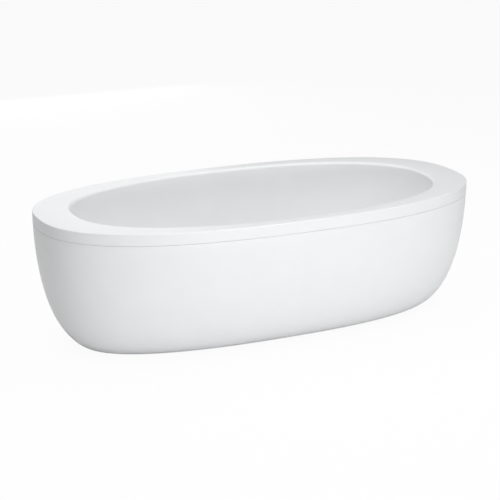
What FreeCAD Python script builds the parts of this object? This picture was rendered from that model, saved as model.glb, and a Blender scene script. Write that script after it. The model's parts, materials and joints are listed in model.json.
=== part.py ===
import FreeCAD, Part
import math
import os
import re

import Sketcher
from FreeCAD import Placement, Rotation, Vector

# Freestanding acrylic bathtub. Millimetres, +Z up, origin on the floor under the middle of the tub.
# X runs along the tub, -Y is the front long side, which carries the overflow.

SIZES = [
    # whole tub
    ("tub_length", 2030, "overall length over the rim"),
    ("tub_width", 1020, "overall width over the rim"),
    ("tub_height", 600, "floor to the top of the rim"),
    ("outline_power", 2.45, "superellipse power of the outer plan curve"),
    ("opening_power", 2.31, "superellipse power of the basin's plan curves"),
    ("rim_end", 162, "rim width at the two ends"),
    ("rim_side", 72, "rim width at the long sides"),
    ("edge_radius", 4, "rounding of the rim's outer edge"),
    ("roll_radius", 14, "rounding from the rim down into the basin"),
    ("lip_depth", 50, "height of the turned-down lip under the rim"),
    # basin
    ("basin_depth", 425, "top of the rim to the basin's floor"),
    ("floor_length", 1000, "flat part of the basin's floor, along X"),
    ("floor_width", 430, "flat part of the basin's floor, along Y"),
    ("shell_wall", 5, "acrylic sheet"),
    ("bond_gap", 0.3, "resin line between the acrylic and its backing"),
    ("backing_wall", 4, "glass-fibre backing"),
    ("backing_drop", 30, "rim top to the backing's upper edge"),
    # apron
    ("base_inset_end", 206, "how far the apron draws in at the ends by the floor"),
    ("base_inset_side", 246, "how far the apron draws in at the long sides by the floor"),
    ("wall_drop", 0.688, "share of the height held near upright by the side profile"),
    ("tuck_share", 0.506, "share of the inset where the profile turns under"),
    ("tuck_height", 0.029, "height of that turn as a share of the tub's height"),
    ("apron_wall", 5, "acrylic apron sheet"),
    ("apron_lift", 5, "gap between the floor and the apron's lower edge"),
    ("seam_gap", 1.2, "shadow gap between the lip and the apron"),
    ("tongue_height", 26, "apron tongue standing up behind the lip"),
    ("tongue_clearance", 1, "gap between the lip and the tongue"),
    # apron clips and rim battens
    ("clip_width", 30, "spring clip, along the rim"),
    ("clip_sheet", 2, "spring clip sheet"),
    ("clip_leg", 24, "spring clip leg under the rim"),
    ("clip_drop", 44, "spring clip leg behind the tongue"),
    ("clip_clearance", 0.6, "gap between clip and tongue"),
    ("batten_length", 500, "rim batten"),
    ("batten_width", 18, "rim batten"),
    ("batten_height", 20, "rim batten"),
    # base board, cross rails and feet
    ("board_length", 960, "base board"),
    ("board_width", 400, "base board"),
    ("board_thickness", 18, "base board"),
    ("board_corner", 60, "rounding of the base board's corners"),
    ("board_hole", 62, "radius of the hole round the waste"),
    ("rail_size", 30, "square steel tube of the cross rails"),
    ("rail_wall", 2, "wall of that tube"),
    ("rail_length", 480, "cross rail"),
    ("rail_spread", 400, "cross rail to the middle of the tub"),
    ("foot_spread", 220, "foot to the tub's long axis"),
    ("screw_radius", 2.4, "board screw shank"),
    ("screw_clearance", 0.1, "gap round a board screw"),
    ("screw_bite", 14, "board screw's depth in the board"),
    ("pilot_spare", 1, "pilot hole beyond the screw's point"),
    ("screw_head", 4.6, "board screw head radius"),
    ("screw_head_height", 2.6, "board screw head height"),
    ("screw_inner", 60, "inner board screws to the tub's long axis"),
    ("screw_outer", 170, "outer board screws to the tub's long axis"),
    ("rod_radius", 6, "levelling rod"),
    ("rod_end", 6.3, "levelling rod standing above the cross rail"),
    ("rod_foot", 14, "floor to the levelling rod's lower end"),
    ("rod_collar", 9, "corner radius of the hexagon that turns the rod"),
    ("rod_collar_height", 8, "height of that hexagon"),
    ("rod_collar_lift", 34, "floor to that hexagon"),
    ("running_gap", 0.05, "radial clearance of a part that turns or slides in another"),
    ("hole_gap", 0.6, "radial clearance of a bolt hole"),
    ("nut_radius", 10.9, "corner radius of the levelling nuts"),
    ("nut_height", 10, "levelling nut"),
    ("pad_radius", 27, "foot pad"),
    ("pad_rim", 7, "foot pad's plate"),
    ("pad_cone", 3, "rise from the foot pad's plate to its hub"),
    ("pad_height", 26, "foot pad with its hub"),
    ("pad_hub", 12.5, "foot pad's hub radius"),
    # waste fitting in the basin's floor
    ("waste_hole", 26, "radius of the hole in the basin's floor"),
    ("flange_radius", 36, "waste flange"),
    ("flange_plate", 3, "waste flange plate"),
    ("barrel_radius", 24, "waste flange barrel"),
    ("barrel_bore", 21, "waste flange bore"),
    ("barrel_length", 34, "waste flange barrel under the plate"),
    ("guide_radius", 7, "plug guide"),
    ("guide_height", 14, "plug guide"),
    ("guide_arm", 3, "plug guide arm"),
    ("seal_thickness", 3, "flat seals"),
    ("fit_gap", 0.2, "gap between fitted plastic pieces"),
    ("body_flange", 37, "waste body flange radius"),
    ("body_radius", 31, "waste body"),
    ("body_bore", 27.5, "waste body chamber"),
    ("body_height", 62, "waste body without its outlet"),
    ("body_plate", 5, "waste body flange and floor"),
    ("outlet_radius", 20, "drain pipe, outside"),
    ("outlet_bore", 17, "drain pipe, inside"),
    ("outlet_drop", 22, "outlet spigot under the waste body"),
    ("plug_radius", 31, "plug cap"),
    ("plug_height", 9, "plug cap above the flange"),
    ("plug_neck", 18, "plug neck inside the flange"),
    ("plug_neck_depth", 6, "plug neck"),
    ("stem_radius", 4, "plug stem"),
    ("plug_seal_radius", 26, "plug seal, centre line"),
    ("plug_seal_cord", 1.5, "plug seal section radius"),
    # lift lever inside the waste body
    ("lever_arm", 20, "lever shaft to the plug's axis"),
    ("lever_tip", 5, "lever beyond the plug's axis"),
    ("lever_width", 7, "lever"),
    ("lever_sheet", 3, "lever"),
    ("lever_swing", 30, "whole swing of the lever, degrees"),
    ("lever_lift", 15, "lever shaft above the waste body's floor"),
    ("shaft_radius", 3, "lever shaft"),
    ("shaft_out", 44, "lever shaft's outer end from the plug's axis"),
    ("shaft_in", 8, "lever shaft's inner end from the plug's axis"),
    ("boss_radius", 6.5, "boss round the lever shaft"),
    ("boss_out", 35, "outer face of that boss"),
    ("crank_length", 15, "crank on the lever shaft, to the cable"),
    ("crank_width", 9, "crank"),
    ("crank_sheet", 4, "crank"),
    ("crank_under", 4, "crank beyond its shaft"),
    ("crank_over", 2, "crank beyond the cable"),
    ("stop_margin", 2, "cable stop beyond the crank"),
    ("tip_gap", 0.3, "gap between plug stem and lever"),
    # trap
    ("trap_bend", 32, "trap, centre-line radius of the U"),
    ("trap_top", 62, "floor to the ends of the trap's U"),
    ("socket_wall", 4, "trap sockets, outside the drain pipe's radius"),
    ("socket_grip", 17.5, "trap inlet socket up round the waste body's spigot"),
    ("trap_nut_wall", 7, "trap nut, outside the socket's radius"),
    ("trap_nut_height", 16, "trap nut"),
    ("trap_nut_grip", 3, "radius of the grips round a trap nut"),
    ("outlet_turn", 30, "centre-line radius of the trap's outlet turn"),
    ("outlet_pipe_length", 150, "drain pipe beyond the trap"),
    # overflow on the front long side
    ("overflow_drop", 88, "rim top to the overflow's centre"),
    ("overflow_hole", 28, "radius of the hole in the basin's wall"),
    ("overflow_flange_radius", 36, "chromed overflow ring"),
    ("overflow_plate", 4, "chromed overflow ring"),
    ("overflow_bore", 21, "overflow ring's water way"),
    ("seat_gap", 1.4, "gap left by the wall's slight curve under flat seals"),
    ("chamber_radius", 31, "overflow body behind the wall"),
    ("chamber_depth", 38, "overflow body behind the wall"),
    ("chamber_wall", 3, "overflow body"),
    ("knob_radius", 31, "overflow knob"),
    ("knob_height", 13, "overflow knob"),
    ("knob_gap", 6, "water gap between the knob and its ring"),
    ("knob_notch", 5, "radius of the finger notches"),
    ("spindle_radius", 4, "knob spindle"),
    ("cam_radius", 12, "cable drum on the spindle"),
    ("cam_height", 6, "cable drum on the spindle"),
    ("overflow_screw_ring", 25, "overflow screws to the overflow's axis"),
    # overflow hose and lift cable
    ("hose_radius", 15, "overflow hose, outside"),
    ("hose_bore", 12.5, "overflow hose, inside"),
    ("spigot_length", 26, "spigots inside the hose's ends"),
    ("spigot_wall", 2, "spigots"),
    ("inlet_lift", 22, "overflow inlet above the waste body's floor"),
    ("hose_gap", 6, "hose clear of the backing"),
    ("clamp_radius", 18.5, "hose clamps"),
    ("clamp_width", 10, "hose clamps"),
    ("cable_radius", 2.5, "lift cable"),
]

ROUND = 32          # points that a plan curve is laid through
QUARTER = 0.5523    # Bezier handle of a quarter circle
# Basin wall from the opening to the flat floor: share of the way in, share of the height left.
BASIN_PROFILE = [(0, 1), (0, 0.86), (0.16, 0.5), (0.38, 0.13), (0.62, 0), (1, 0)]
CLIPS = 8           # spring clips round the rim
KNOB_NOTCHES = 8    # finger notches in the overflow knob
NUT_GRIPS = 12      # hollows round a trap nut, for the hand
FOOT_SIDES = {"front": -1, "rear": 1}
RAIL_SIDES = {"left": -1, "right": 1}
UP = Vector(0, 0, 1)

# Heights that follow from the sheet, as expressions in its names.
FLOOR_TOP = "(tub_height - basin_depth)"
BACKING_TOP = f"({FLOOR_TOP} - shell_wall - bond_gap)"
BACKING_UNDER = f"({BACKING_TOP} - backing_wall)"
BOARD_UNDER = f"({BACKING_UNDER} - board_thickness)"
RAIL_UNDER = f"({BOARD_UNDER} - rail_size)"
WASTE_TOP = f"({BACKING_UNDER} - seal_thickness)"
WASTE_FLOOR = f"({WASTE_TOP} - body_height)"
INLET_HEIGHT = f"({WASTE_FLOOR} + inlet_lift)"
LEVER_HEIGHT = f"({WASTE_FLOOR} + body_plate + lever_lift)"
CABLE_HEIGHT = f"({LEVER_HEIGHT} + crank_length)"
ROD_LENGTH = f"({BOARD_UNDER} + rod_end - rod_foot)"

doc = FreeCAD.newDocument("Bathtub")
sheet = doc.addObject("Spreadsheet::Sheet", "Sizes")
for row, (alias, value, meaning) in enumerate(SIZES, start=1):
    sheet.set(f"A{row}", meaning)
    sheet.set(f"B{row}", str(value))
    sheet.setAlias(f"B{row}", alias)
doc.recompute()
ALIASES = {alias for alias, _, _ in SIZES}
subparts = {}


# ---- reading the sheet, and primitives bound to it ----

def bound(text):
    """The text as an expression, with each of the sheet's names in full."""
    return re.sub(r"[a-z_]+", lambda word: "Sizes." + word[0] if word[0] in ALIASES else word[0], str(text))


def size(text):
    """The value of an expression in the sheet's names."""
    return float(sheet.evalExpression(bound(text)))


def bind(thing, **sizes):
    for name, text in sizes.items():
        thing.setExpression(name, bound(text))
    return thing


def place(thing, x=0, y=0, z=0, turn=None):
    """Puts a thing at three expressions; turn is a fixed Rotation."""
    if turn is not None:
        thing.Placement = Placement(Vector(), turn)
    for axis, text in zip("xyz", (x, y, z)):
        thing.setExpression(f".Placement.Base.{axis}", bound(text))
    return thing


def fresh(kind, name):
    return doc.addObject(kind, name)


def cylinder(radius, height, x=0, y=0, z=0, turn=None):
    return place(bind(fresh("Part::Cylinder", "Cylinder"), Radius=radius, Height=height), x, y, z, turn)


def box(length, width, height, x=0, y=0, z=0):
    """A box centred on x and y that stands on z."""
    solid = bind(fresh("Part::Box", "Box"), Length=length, Width=width, Height=height)
    return place(solid, f"{x} - ({length}) / 2", f"{y} - ({width}) / 2", z)


def hexagon(radius, height, x=0, y=0, z=0):
    solid = bind(fresh("Part::Prism", "Hexagon"), Circumradius=radius, Height=height)
    solid.Polygon = 6
    return place(solid, x, y, z)


def ball(radius, x=0, y=0, z=0):
    return place(bind(fresh("Part::Sphere", "Ball"), Radius=radius), x, y, z)


def bend(bend_radius, pipe_radius, sweep, x, y, z, turn):
    """A pipe bend: part of a torus that starts on its own +X side and sweeps about its own Z."""
    solid = bind(fresh("Part::Torus", "Bend"), Radius1=bend_radius, Radius2=pipe_radius)
    solid.Angle3 = sweep
    return place(solid, x, y, z, turn)


def fuse(*solids):
    whole = fresh("Part::MultiFuse", "Fuse")
    whole.Shapes = list(solids)
    return whole


def cut(base, *tools):
    whole = fresh("Part::Cut", "Cut")
    whole.Base = base
    whole.Tool = tools[0] if len(tools) == 1 else fuse(*tools)
    return whole


def group(*solids):
    whole = fresh("Part::Compound", "Group")
    whole.Links = list(solids)
    return whole


def subpart(label, thing):
    """Names a finished sub-part; the label is its file's name."""
    thing.Label = label
    subparts[label] = thing
    return thing


def set_shape(shape):
    """A feature whose shape is worked out here from the sheet's values."""
    feature = fresh("Part::Feature", "Shape")
    feature.Shape = shape
    return feature


# ---- turned parts: one sketch turned about Z ----

def sketch_on(body, role):
    plane = [item for item in body.Origin.OriginFeatures if item.Role == role][0]
    sketch = body.newObject("Sketcher::SketchObject", "Sketch")
    sketch.AttachmentSupport = (plane, [""])
    sketch.MapMode = "FlatFace"
    return sketch


def outline(sketch, corners):
    """A closed polygon whose corners are bound to the sheet."""
    points = [Vector(size(across), size(up), 0) for across, up in corners]
    count = len(points)
    for index in range(count):
        sketch.addGeometry(Part.LineSegment(points[index], points[(index + 1) % count]), False)
    for index in range(count):
        sketch.addConstraint(Sketcher.Constraint("Coincident", index, 2, (index + 1) % count, 1))
    for index, (across, up) in enumerate(corners):
        for kind, text in (("DistanceX", across), ("DistanceY", up)):
            number = sketch.addConstraint(Sketcher.Constraint(kind, -1, 1, index, 1, size(text)))
            sketch.setExpression(f"Constraints[{number}]", bound(text))


def turned(corners, rounding=None, rounded_at=()):
    """A body turned from a half section; the circles at the (radius, height) pairs are rounded."""
    body = fresh("PartDesign::Body", "Turned")
    sketch = sketch_on(body, "XZ_Plane")
    outline(sketch, corners)
    solid = body.newObject("PartDesign::Revolution", "Revolution")
    solid.Profile = sketch
    solid.ReferenceAxis = (sketch, ["V_Axis"])
    solid.Angle = 360
    if rounding is not None:
        doc.recompute()
        edges = circles_at(solid.Shape, [(size(radius), size(height)) for radius, height in rounded_at])
        fillet = body.newObject("PartDesign::Fillet", "Fillet")
        fillet.Base = (solid, edges)
        bind(fillet, Radius=rounding)
    return body


def circles_at(shape, wanted):
    """Names of the level circular edges with the wanted radii and heights."""
    names = []
    for number, edge in enumerate(shape.Edges, start=1):
        if not isinstance(edge.Curve, Part.Circle):
            continue
        found = (edge.Curve.Radius, edge.Curve.Center.z)
        if any(abs(found[0] - radius) < 0.01 and abs(found[1] - height) < 0.01 for radius, height in wanted):
            names.append(f"Edge{number}")
    return names


# ---- shells whose every level is a superellipse ----
# A ring is a Vector of half length, half width and height. A wall is a B-spline surface through
# control rings, so one side profile serves the whole way round.

def plan_curve(power):
    """A closed curve through points of the superellipse with half axes of 1."""
    points = []
    for index in range(ROUND):
        angle = 2 * math.pi * index / ROUND
        across, along = math.cos(angle), math.sin(angle)
        reach = (abs(across) ** power + abs(along) ** power) ** (-1 / power)
        points.append(Vector(reach * across, reach * along, 0))
    curve = Part.BSplineCurve()
    curve.interpolate(Points=points, PeriodicFlag=True, Parameters=[float(step) for step in range(ROUND + 1)])
    return curve


def ring_poles(ring, power):
    return [Vector(ring.x * pole.x, ring.y * pole.y, ring.z) for pole in plan_curve(power).getPoles()]


def ring_curve(ring, power):
    unit = plan_curve(power)
    curve = Part.BSplineCurve()
    curve.buildFromPolesMultsKnots(
        ring_poles(ring, power), unit.getMultiplicities(), unit.getKnots(), True, unit.Degree)
    return curve


def profile_knots(count):
    """Degree, knots and multiplicities of a clamped spline with so many control points."""
    degree = min(3, count - 1)
    inner = count - degree - 1
    knots = [float(step) for step in range(inner + 2)]
    return degree, knots, [degree + 1] + [1] * inner + [degree + 1]


def wall(rings, power):
    unit = plan_curve(power)
    degree, knots, multiplicities = profile_knots(len(rings))
    columns = [ring_poles(ring, power) for ring in rings]
    surface = Part.BSplineSurface()
    surface.buildFromPolesMultsKnots(
        [list(row) for row in zip(*columns)], unit.getMultiplicities(), multiplicities,
        unit.getKnots(), knots, True, False, unit.Degree, degree)
    return surface.toShape()


def level(outer, outer_power, inner=None, inner_power=None):
    """A flat face inside one ring, or between two rings at one height."""
    wires = [Part.Wire(ring_curve(outer, outer_power).toShape())]
    if inner is not None:
        wires.append(Part.Wire(ring_curve(inner, inner_power).toShape()))
    return Part.makeFace(wires, "Part::FaceMakerBullseye")


def closed(faces):
    """The solid that a set of faces closes."""
    skin = Part.makeCompound(faces)
    skin.sewShape(0.001)
    return Part.Solid(skin.Shells[0])


def shifted(ring, across, up=0):
    return ring + Vector(across, across, up)


def quarter(start, corner, end):
    """Rings of a quarter round from start to end, tangent to the corner's two sides."""
    return [start, start + (corner - start) * QUARTER, end + (corner - end) * QUARTER, end]


def offset(rings, distance):
    """Rings moved square off their profile: positive is outwards and down, negative inwards and up."""
    moved = []
    for index, ring in enumerate(rings):
        step = Vector(0, 0, 0)
        for axis in ("x", "y"):
            normals = []
            for first, second in ((index - 1, index), (index, index + 1)):
                if first < 0 or second >= len(rings):
                    continue
                run = getattr(rings[second], axis) - getattr(rings[first], axis)
                fall = rings[second].z - rings[first].z
                length = math.hypot(run, fall)
                normals.append((-fall / length, run / length))
            if len(normals) == 2:
                (a, b), (c, d) = normals
                share = 1 + a * c + b * d
                normals = [((a + c) / share, (b + d) / share)]
            out, down = normals[0]
            setattr(step, axis, out)
            step.z += down / 2
        moved.append(ring + step * distance)
    return moved


def blend(first, second, share):
    return first * (1 - share) + second * share


def blossom(rings, shares):
    """The Bezier profile's blossom, which gives the control rings of any part of it."""
    for share in shares:
        rings = [blend(first, second, share) for first, second in zip(rings, rings[1:])]
    return rings[0]


def profile_part(rings, start, end):
    return [blossom(rings, shares) for shares in
            ((start, start, start), (start, start, end), (start, end, end), (end, end, end))]


def share_at(rings, height):
    """Where along a falling Bezier profile a height is reached."""
    low, high = 0.0, 1.0
    for _ in range(50):
        middle = (low + high) / 2
        if blossom(rings, (middle, middle, middle)).z > height:
            low = middle
        else:
            high = middle
    return (low + high) / 2


# ---- the tub's own curves ----

def outer_profile():
    """Control rings of the outside, from the rim's edge to the floor."""
    top = Vector(size("tub_length / 2"), size("tub_width / 2"), size("tub_height"))
    inset = Vector(size("base_inset_end"), size("base_inset_side"), 0)
    height = top.z
    return [
        top,
        top - Vector(0, 0, height * size("wall_drop")),
        top - inset * size("tuck_share") - Vector(0, 0, height * (1 - size("tuck_height"))),
        top - inset - Vector(0, 0, height),
    ]


def basin_profile():
    """Control rings of the basin's inside, from under the rolled edge to the flat floor."""
    opening = Vector(size("tub_length / 2 - rim_end"), size("tub_width / 2 - rim_side"), 0)
    flat = Vector(size("floor_length / 2"), size("floor_width / 2"), 0)
    low, high = size(FLOOR_TOP), size("tub_height - roll_radius")
    return [blend(opening, flat, inward) + UP * (low + (high - low) * left) for inward, left in BASIN_PROFILE]


OUTER = outer_profile()
BASIN = basin_profile()
OUTER_POWER = size("outline_power")
BASIN_POWER = size("opening_power")


def basin_side(rings):
    """The front long side's profile, cut through the middle of the tub."""
    degree, knots, multiplicities = profile_knots(len(rings))
    curve = Part.BSplineCurve()
    curve.buildFromPolesMultsKnots(
        [Vector(0, -ring.y, ring.z) for ring in rings], multiplicities, knots, False, degree)
    return curve


def point_on_side(rings, height):
    """A point of that profile and the wall's normal there, which points into the basin."""
    curve = basin_side(rings)
    low, high = curve.FirstParameter, curve.LastParameter
    for _ in range(50):
        middle = (low + high) / 2
        if curve.value(middle).z > height:
            low = middle
        else:
            high = middle
    along = Vector(*curve.tangent(middle)[0])
    normal = Vector(0, -along.z, along.y).normalize()
    return curve.value(middle), normal


SIDE_POINT, SIDE_NORMAL = point_on_side(BASIN, size("tub_height - overflow_drop"))
# Overflow pieces are drawn with the basin's side of the wall at height 0 and the basin above it.
OVERFLOW_PLACE = Placement(SIDE_POINT, Rotation(UP, SIDE_NORMAL))


def overflow_cylinder(radius, low, high):
    """A cylinder on the overflow's axis between two distances from the basin's side of the wall."""
    solid = Part.makeCylinder(size(radius), size(high) - size(low), UP * size(low))
    solid.Placement = OVERFLOW_PLACE
    return solid


# ---- shells and skins ----

def tub_shell():
    wall_thickness, roll, edge = size("shell_wall"), size("roll_radius"), size("edge_radius")
    top = size("tub_height")
    lip_from, lip_to = share_at(OUTER, top - edge), share_at(OUTER, top - size("lip_depth"))
    lip = profile_part(OUTER, lip_from, lip_to)
    rim_edge = shifted(OUTER[0], -edge)
    roll_top = shifted(BASIN[0], roll, roll)
    inner_roll = roll - wall_thickness
    lip_inside = shifted(lip[-1], -wall_thickness)
    under_rim = Vector(lip_inside.x, lip_inside.y, top - wall_thickness)
    roll_under = shifted(roll_top, 0, -wall_thickness)
    outside = offset(BASIN, wall_thickness)
    faces = [
        level(BASIN[-1], BASIN_POWER),
        wall(BASIN, BASIN_POWER),
        wall(quarter(BASIN[0], shifted(BASIN[0], 0, roll), roll_top), BASIN_POWER),
        level(rim_edge, OUTER_POWER, roll_top, BASIN_POWER),
        wall(quarter(rim_edge, shifted(rim_edge, edge), lip[0]), OUTER_POWER),
        wall(lip, OUTER_POWER),
        level(lip[-1], OUTER_POWER, lip_inside, OUTER_POWER),
        wall([lip_inside, under_rim], OUTER_POWER),
        level(under_rim, OUTER_POWER, roll_under, BASIN_POWER),
        wall(quarter(roll_under, shifted(outside[0], 0, inner_roll), outside[0]), BASIN_POWER),
        wall(outside, BASIN_POWER),
        level(outside[-1], BASIN_POWER),
    ]
    waste = Part.makeCylinder(size("waste_hole"), size("basin_depth"))
    overflow = overflow_cylinder("overflow_hole", "-4 * shell_wall", "4 * shell_wall")
    return closed(faces).cut(waste).cut(overflow)


def above(rings, height):
    """A box over everything above a height, which trims a wall level there."""
    reach = rings[0].x + size("rim_end")
    return Part.makeBox(2 * reach, 2 * reach, reach, Vector(-reach, -reach, height))


def shell_backing():
    near = size("shell_wall + bond_gap")
    inside = offset(BASIN, near)
    outside = offset(BASIN, near + size("backing_wall"))
    faces = [
        level(inside[-1], BASIN_POWER),
        wall(inside, BASIN_POWER),
        level(outside[0], BASIN_POWER, inside[0], BASIN_POWER),
        wall(outside, BASIN_POWER),
        level(outside[-1], BASIN_POWER),
    ]
    waste = Part.makeCylinder(size("waste_hole"), size("basin_depth"))
    overflow = overflow_cylinder("overflow_hole", "-6 * shell_wall", "4 * shell_wall")
    skin = closed(faces).cut(waste).cut(overflow)
    return skin.cut(above(outside, size("tub_height - backing_drop")))


def apron_panel():
    thickness = size("apron_wall")
    seam = size("tub_height - lip_depth - seam_gap")
    foot = share_at(OUTER, size("apron_lift"))
    outside = profile_part(OUTER, share_at(OUTER, seam), foot)
    inside = offset(profile_part(OUTER, share_at(OUTER, seam - thickness), foot), -thickness)
    tongue_out = shifted(outside[0], -size("shell_wall + tongue_clearance"))
    tongue_in = shifted(tongue_out, -thickness)
    crown = size("tub_height - lip_depth + tongue_height")
    crown_out = Vector(tongue_out.x, tongue_out.y, crown)
    crown_in = Vector(tongue_in.x, tongue_in.y, crown)
    shelf_in = Vector(tongue_in.x, tongue_in.y, inside[0].z)
    return closed([
        wall(outside, OUTER_POWER),
        wall([outside[-1], inside[-1]], OUTER_POWER),
        wall(inside, OUTER_POWER),
        level(inside[0], OUTER_POWER, shelf_in, OUTER_POWER),
        wall([shelf_in, crown_in], OUTER_POWER),
        level(crown_out, OUTER_POWER, crown_in, OUTER_POWER),
        wall([crown_out, tongue_out], OUTER_POWER),
        level(outside[0], OUTER_POWER, tongue_out, OUTER_POWER),
    ])


subpart("tub_shell", set_shape(tub_shell()))
subpart("shell_backing", set_shape(shell_backing()))
subpart("apron_panel", set_shape(apron_panel()))


# ---- rim battens and apron clips ----

def rim_battens():
    """A batten under the rim at each long side, midway between the backing and the tongue."""
    backing = "(tub_width / 2 - rim_side + shell_wall + bond_gap + backing_wall)"
    tongue = "(tub_width / 2 - shell_wall - tongue_clearance - apron_wall)"
    for side, sign in FOOT_SIDES.items():
        batten = box("batten_length", "batten_width", "batten_height", 0, f"{sign} * ({backing} + {tongue}) / 2",
                     "tub_height - shell_wall - batten_height")
        subpart(f"{side}_rim_batten", batten)


def apron_clips():
    """Spring clips behind the tongue, spread round the rim clear of both axes."""
    lip = profile_part(OUTER, 0, share_at(OUTER, size("tub_height - lip_depth - seam_gap")))[-1]
    behind = shifted(lip, -size("shell_wall + tongue_clearance + apron_wall + clip_clearance"))
    curve = ring_curve(Vector(behind.x, behind.y, size("tub_height - shell_wall")), OUTER_POWER)
    clips = []
    for index in range(CLIPS):
        station = (index + 0.5) * ROUND / CLIPS
        along = Vector(*curve.tangent(station)[0])
        hanging = box("clip_width", "clip_sheet", "clip_drop", 0, "clip_sheet / 2", "-clip_drop")
        lying = box("clip_width", "clip_leg", "clip_sheet", 0, "clip_leg / 2", "-clip_sheet")
        clip = fuse(hanging, lying)
        clip.Placement = Placement(curve.value(station), Rotation(along, UP.cross(along), UP, "ZXY"))
        clips.append(clip)
    return group(*clips)


rim_battens()
subpart("apron_clips", apron_clips())


# ---- base board, cross rails, feet ----

def base_board():
    """A plywood board with rounded corners, a hole round the waste and pilot holes for its screws."""
    body = fresh("PartDesign::Body", "Board")
    sketch = sketch_on(body, "XY_Plane")
    corners = [(f"{x} * board_length / 2", f"{y} * board_width / 2")
               for x, y in ((-1, -1), (1, -1), (1, 1), (-1, 1))]
    outline(sketch, corners)
    pad = body.newObject("PartDesign::Pad", "Pad")
    pad.Profile = sketch
    bind(pad, Length="board_thickness")
    doc.recompute()
    upright = [f"Edge{number}" for number, edge in enumerate(pad.Shape.Edges, start=1)
               if abs(edge.tangentAt(edge.FirstParameter).z) > 0.99]
    rounded = body.newObject("PartDesign::Fillet", "Corners")
    rounded.Base = (pad, upright)
    bind(rounded, Radius="board_corner")
    place(body, 0, 0, BOARD_UNDER)
    pilots = [cylinder("screw_radius + screw_clearance", "screw_bite + pilot_spare", x, y, BOARD_UNDER)
              for x, y in screw_places()]
    hole = cylinder("board_hole", "board_thickness", 0, 0, BOARD_UNDER)
    return cut(body, hole, *pilots)


def screw_places():
    return [(f"{x} * rail_spread", f"{y} * {row}")
            for x in (-1, 1) for y in (-1, 1) for row in ("screw_inner", "screw_outer")]


def foot_places():
    """Name, x and y of each foot."""
    return [(f"{front}_{left}", f"{x} * rail_spread", f"{y} * foot_spread")
            for left, x in RAIL_SIDES.items() for front, y in FOOT_SIDES.items()]


def cross_rail(sign):
    across = f"{sign} * rail_spread"
    tube = box("rail_size", "rail_length", "rail_size", across, 0, RAIL_UNDER)
    hollow = box("rail_size - 2 * rail_wall", "rail_length", "rail_size - 2 * rail_wall",
                 across, 0, f"{RAIL_UNDER} + rail_wall")
    feet = [cylinder("rod_radius + hole_gap", "rail_size", across, f"{y} * foot_spread", RAIL_UNDER)
            for y in (-1, 1)]
    screws = [cylinder("screw_radius + screw_clearance", "rail_size", x, y, RAIL_UNDER)
              for x, y in screw_places() if x.startswith(f"{sign} ")]
    return cut(tube, hollow, *feet, *screws)


def board_screws():
    screws = []
    for x, y in screw_places():
        shank = cylinder("screw_radius", "rail_size + screw_bite", x, y, RAIL_UNDER)
        head = cylinder("screw_head", "screw_head_height", x, y, f"{RAIL_UNDER} - screw_head_height")
        screws.append(fuse(shank, head))
    return group(*screws)


def nut_ring(height):
    """A nut on each levelling rod with its lower face at a height."""
    nuts = []
    for _, x, y in foot_places():
        blank = hexagon("nut_radius", "nut_height", x, y, height)
        bore = cylinder("rod_radius + running_gap", "nut_height", x, y, height)
        nuts.append(cut(blank, bore))
    return group(*nuts)


def levelling_rod(x, y):
    rod = cylinder("rod_radius", ROD_LENGTH, x, y, "rod_foot")
    collar = hexagon("rod_collar", "rod_collar_height", x, y, "rod_collar_lift")
    return fuse(rod, collar)


def foot_pad(x, y):
    """A rubber-soled plate with a hub that the rod's lower end turns in."""
    socket = "rod_radius + running_gap"
    pad = turned([
        (0, 0), ("pad_radius", 0), ("pad_radius", "pad_rim"), ("pad_hub", "pad_rim + pad_cone"),
        ("pad_hub", "pad_height"),
        (socket, "pad_height"), (socket, "rod_foot - running_gap"), (0, "rod_foot - running_gap")],
        "pad_rim / 4", [("pad_radius", "pad_rim")])
    return place(pad, x, y)


subpart("base_board", base_board())
for name, sign in RAIL_SIDES.items():
    subpart(f"{name}_cross_rail", cross_rail(sign))
subpart("board_screws", board_screws())
subpart("foot_nuts", nut_ring(BOARD_UNDER))
subpart("foot_lock_nuts", nut_ring(f"{RAIL_UNDER} - nut_height"))
for name, x, y in foot_places():
    subpart(f"{name}_levelling_rod", levelling_rod(x, y))
    subpart(f"{name}_foot_pad", foot_pad(x, y))


# ---- waste fitting and plug ----

ALONG_X = Rotation(Vector(0, 1, 0), 90)
TOWARDS_FRONT = Rotation(Vector(1, 0, 0), 90)
TOWARDS_REAR = Rotation(Vector(1, 0, 0), -90)
LEVER_TILT = "(lever_swing / 2)"
BARREL_END = f"({FLOOR_TOP} - barrel_length)"
PLUG_UNDER = f"({FLOOR_TOP} + flange_plate + tip_gap + plug_seal_cord)"
NECK_END = f"({PLUG_UNDER} - plug_neck_depth)"
STEM_TIP = (f"({LEVER_HEIGHT} + (lever_sheet / 2 + stem_radius + tip_gap"
            f" - lever_arm * sin({LEVER_TILT})) / cos({LEVER_TILT}))")
SPIGOT = "(hose_bore - fit_gap)"


def waste_flange():
    ring = turned([
        ("barrel_bore", BARREL_END), ("barrel_radius", BARREL_END), ("barrel_radius", FLOOR_TOP),
        ("flange_radius", FLOOR_TOP), ("flange_radius", f"{FLOOR_TOP} + flange_plate / 3"),
        ("flange_radius - flange_plate", f"{FLOOR_TOP} + flange_plate"),
        ("barrel_bore", f"{FLOOR_TOP} + flange_plate")],
        "flange_plate / 4", [("barrel_bore", f"{FLOOR_TOP} + flange_plate")])
    hub = cylinder("guide_radius", "guide_height", 0, 0, BARREL_END)
    reach = "barrel_bore + barrel_radius"
    arms = [box(reach, "guide_arm", "guide_height", 0, 0, BARREL_END),
            box("guide_arm", reach, "guide_height", 0, 0, BARREL_END)]
    guide = cylinder("stem_radius + running_gap", "guide_height", 0, 0, BARREL_END)
    return cut(fuse(ring, hub, *arms), guide)


def flat_ring(outer, inner, height, z):
    return cut(cylinder(outer, height, 0, 0, z), cylinder(inner, height, 0, 0, z))


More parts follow.
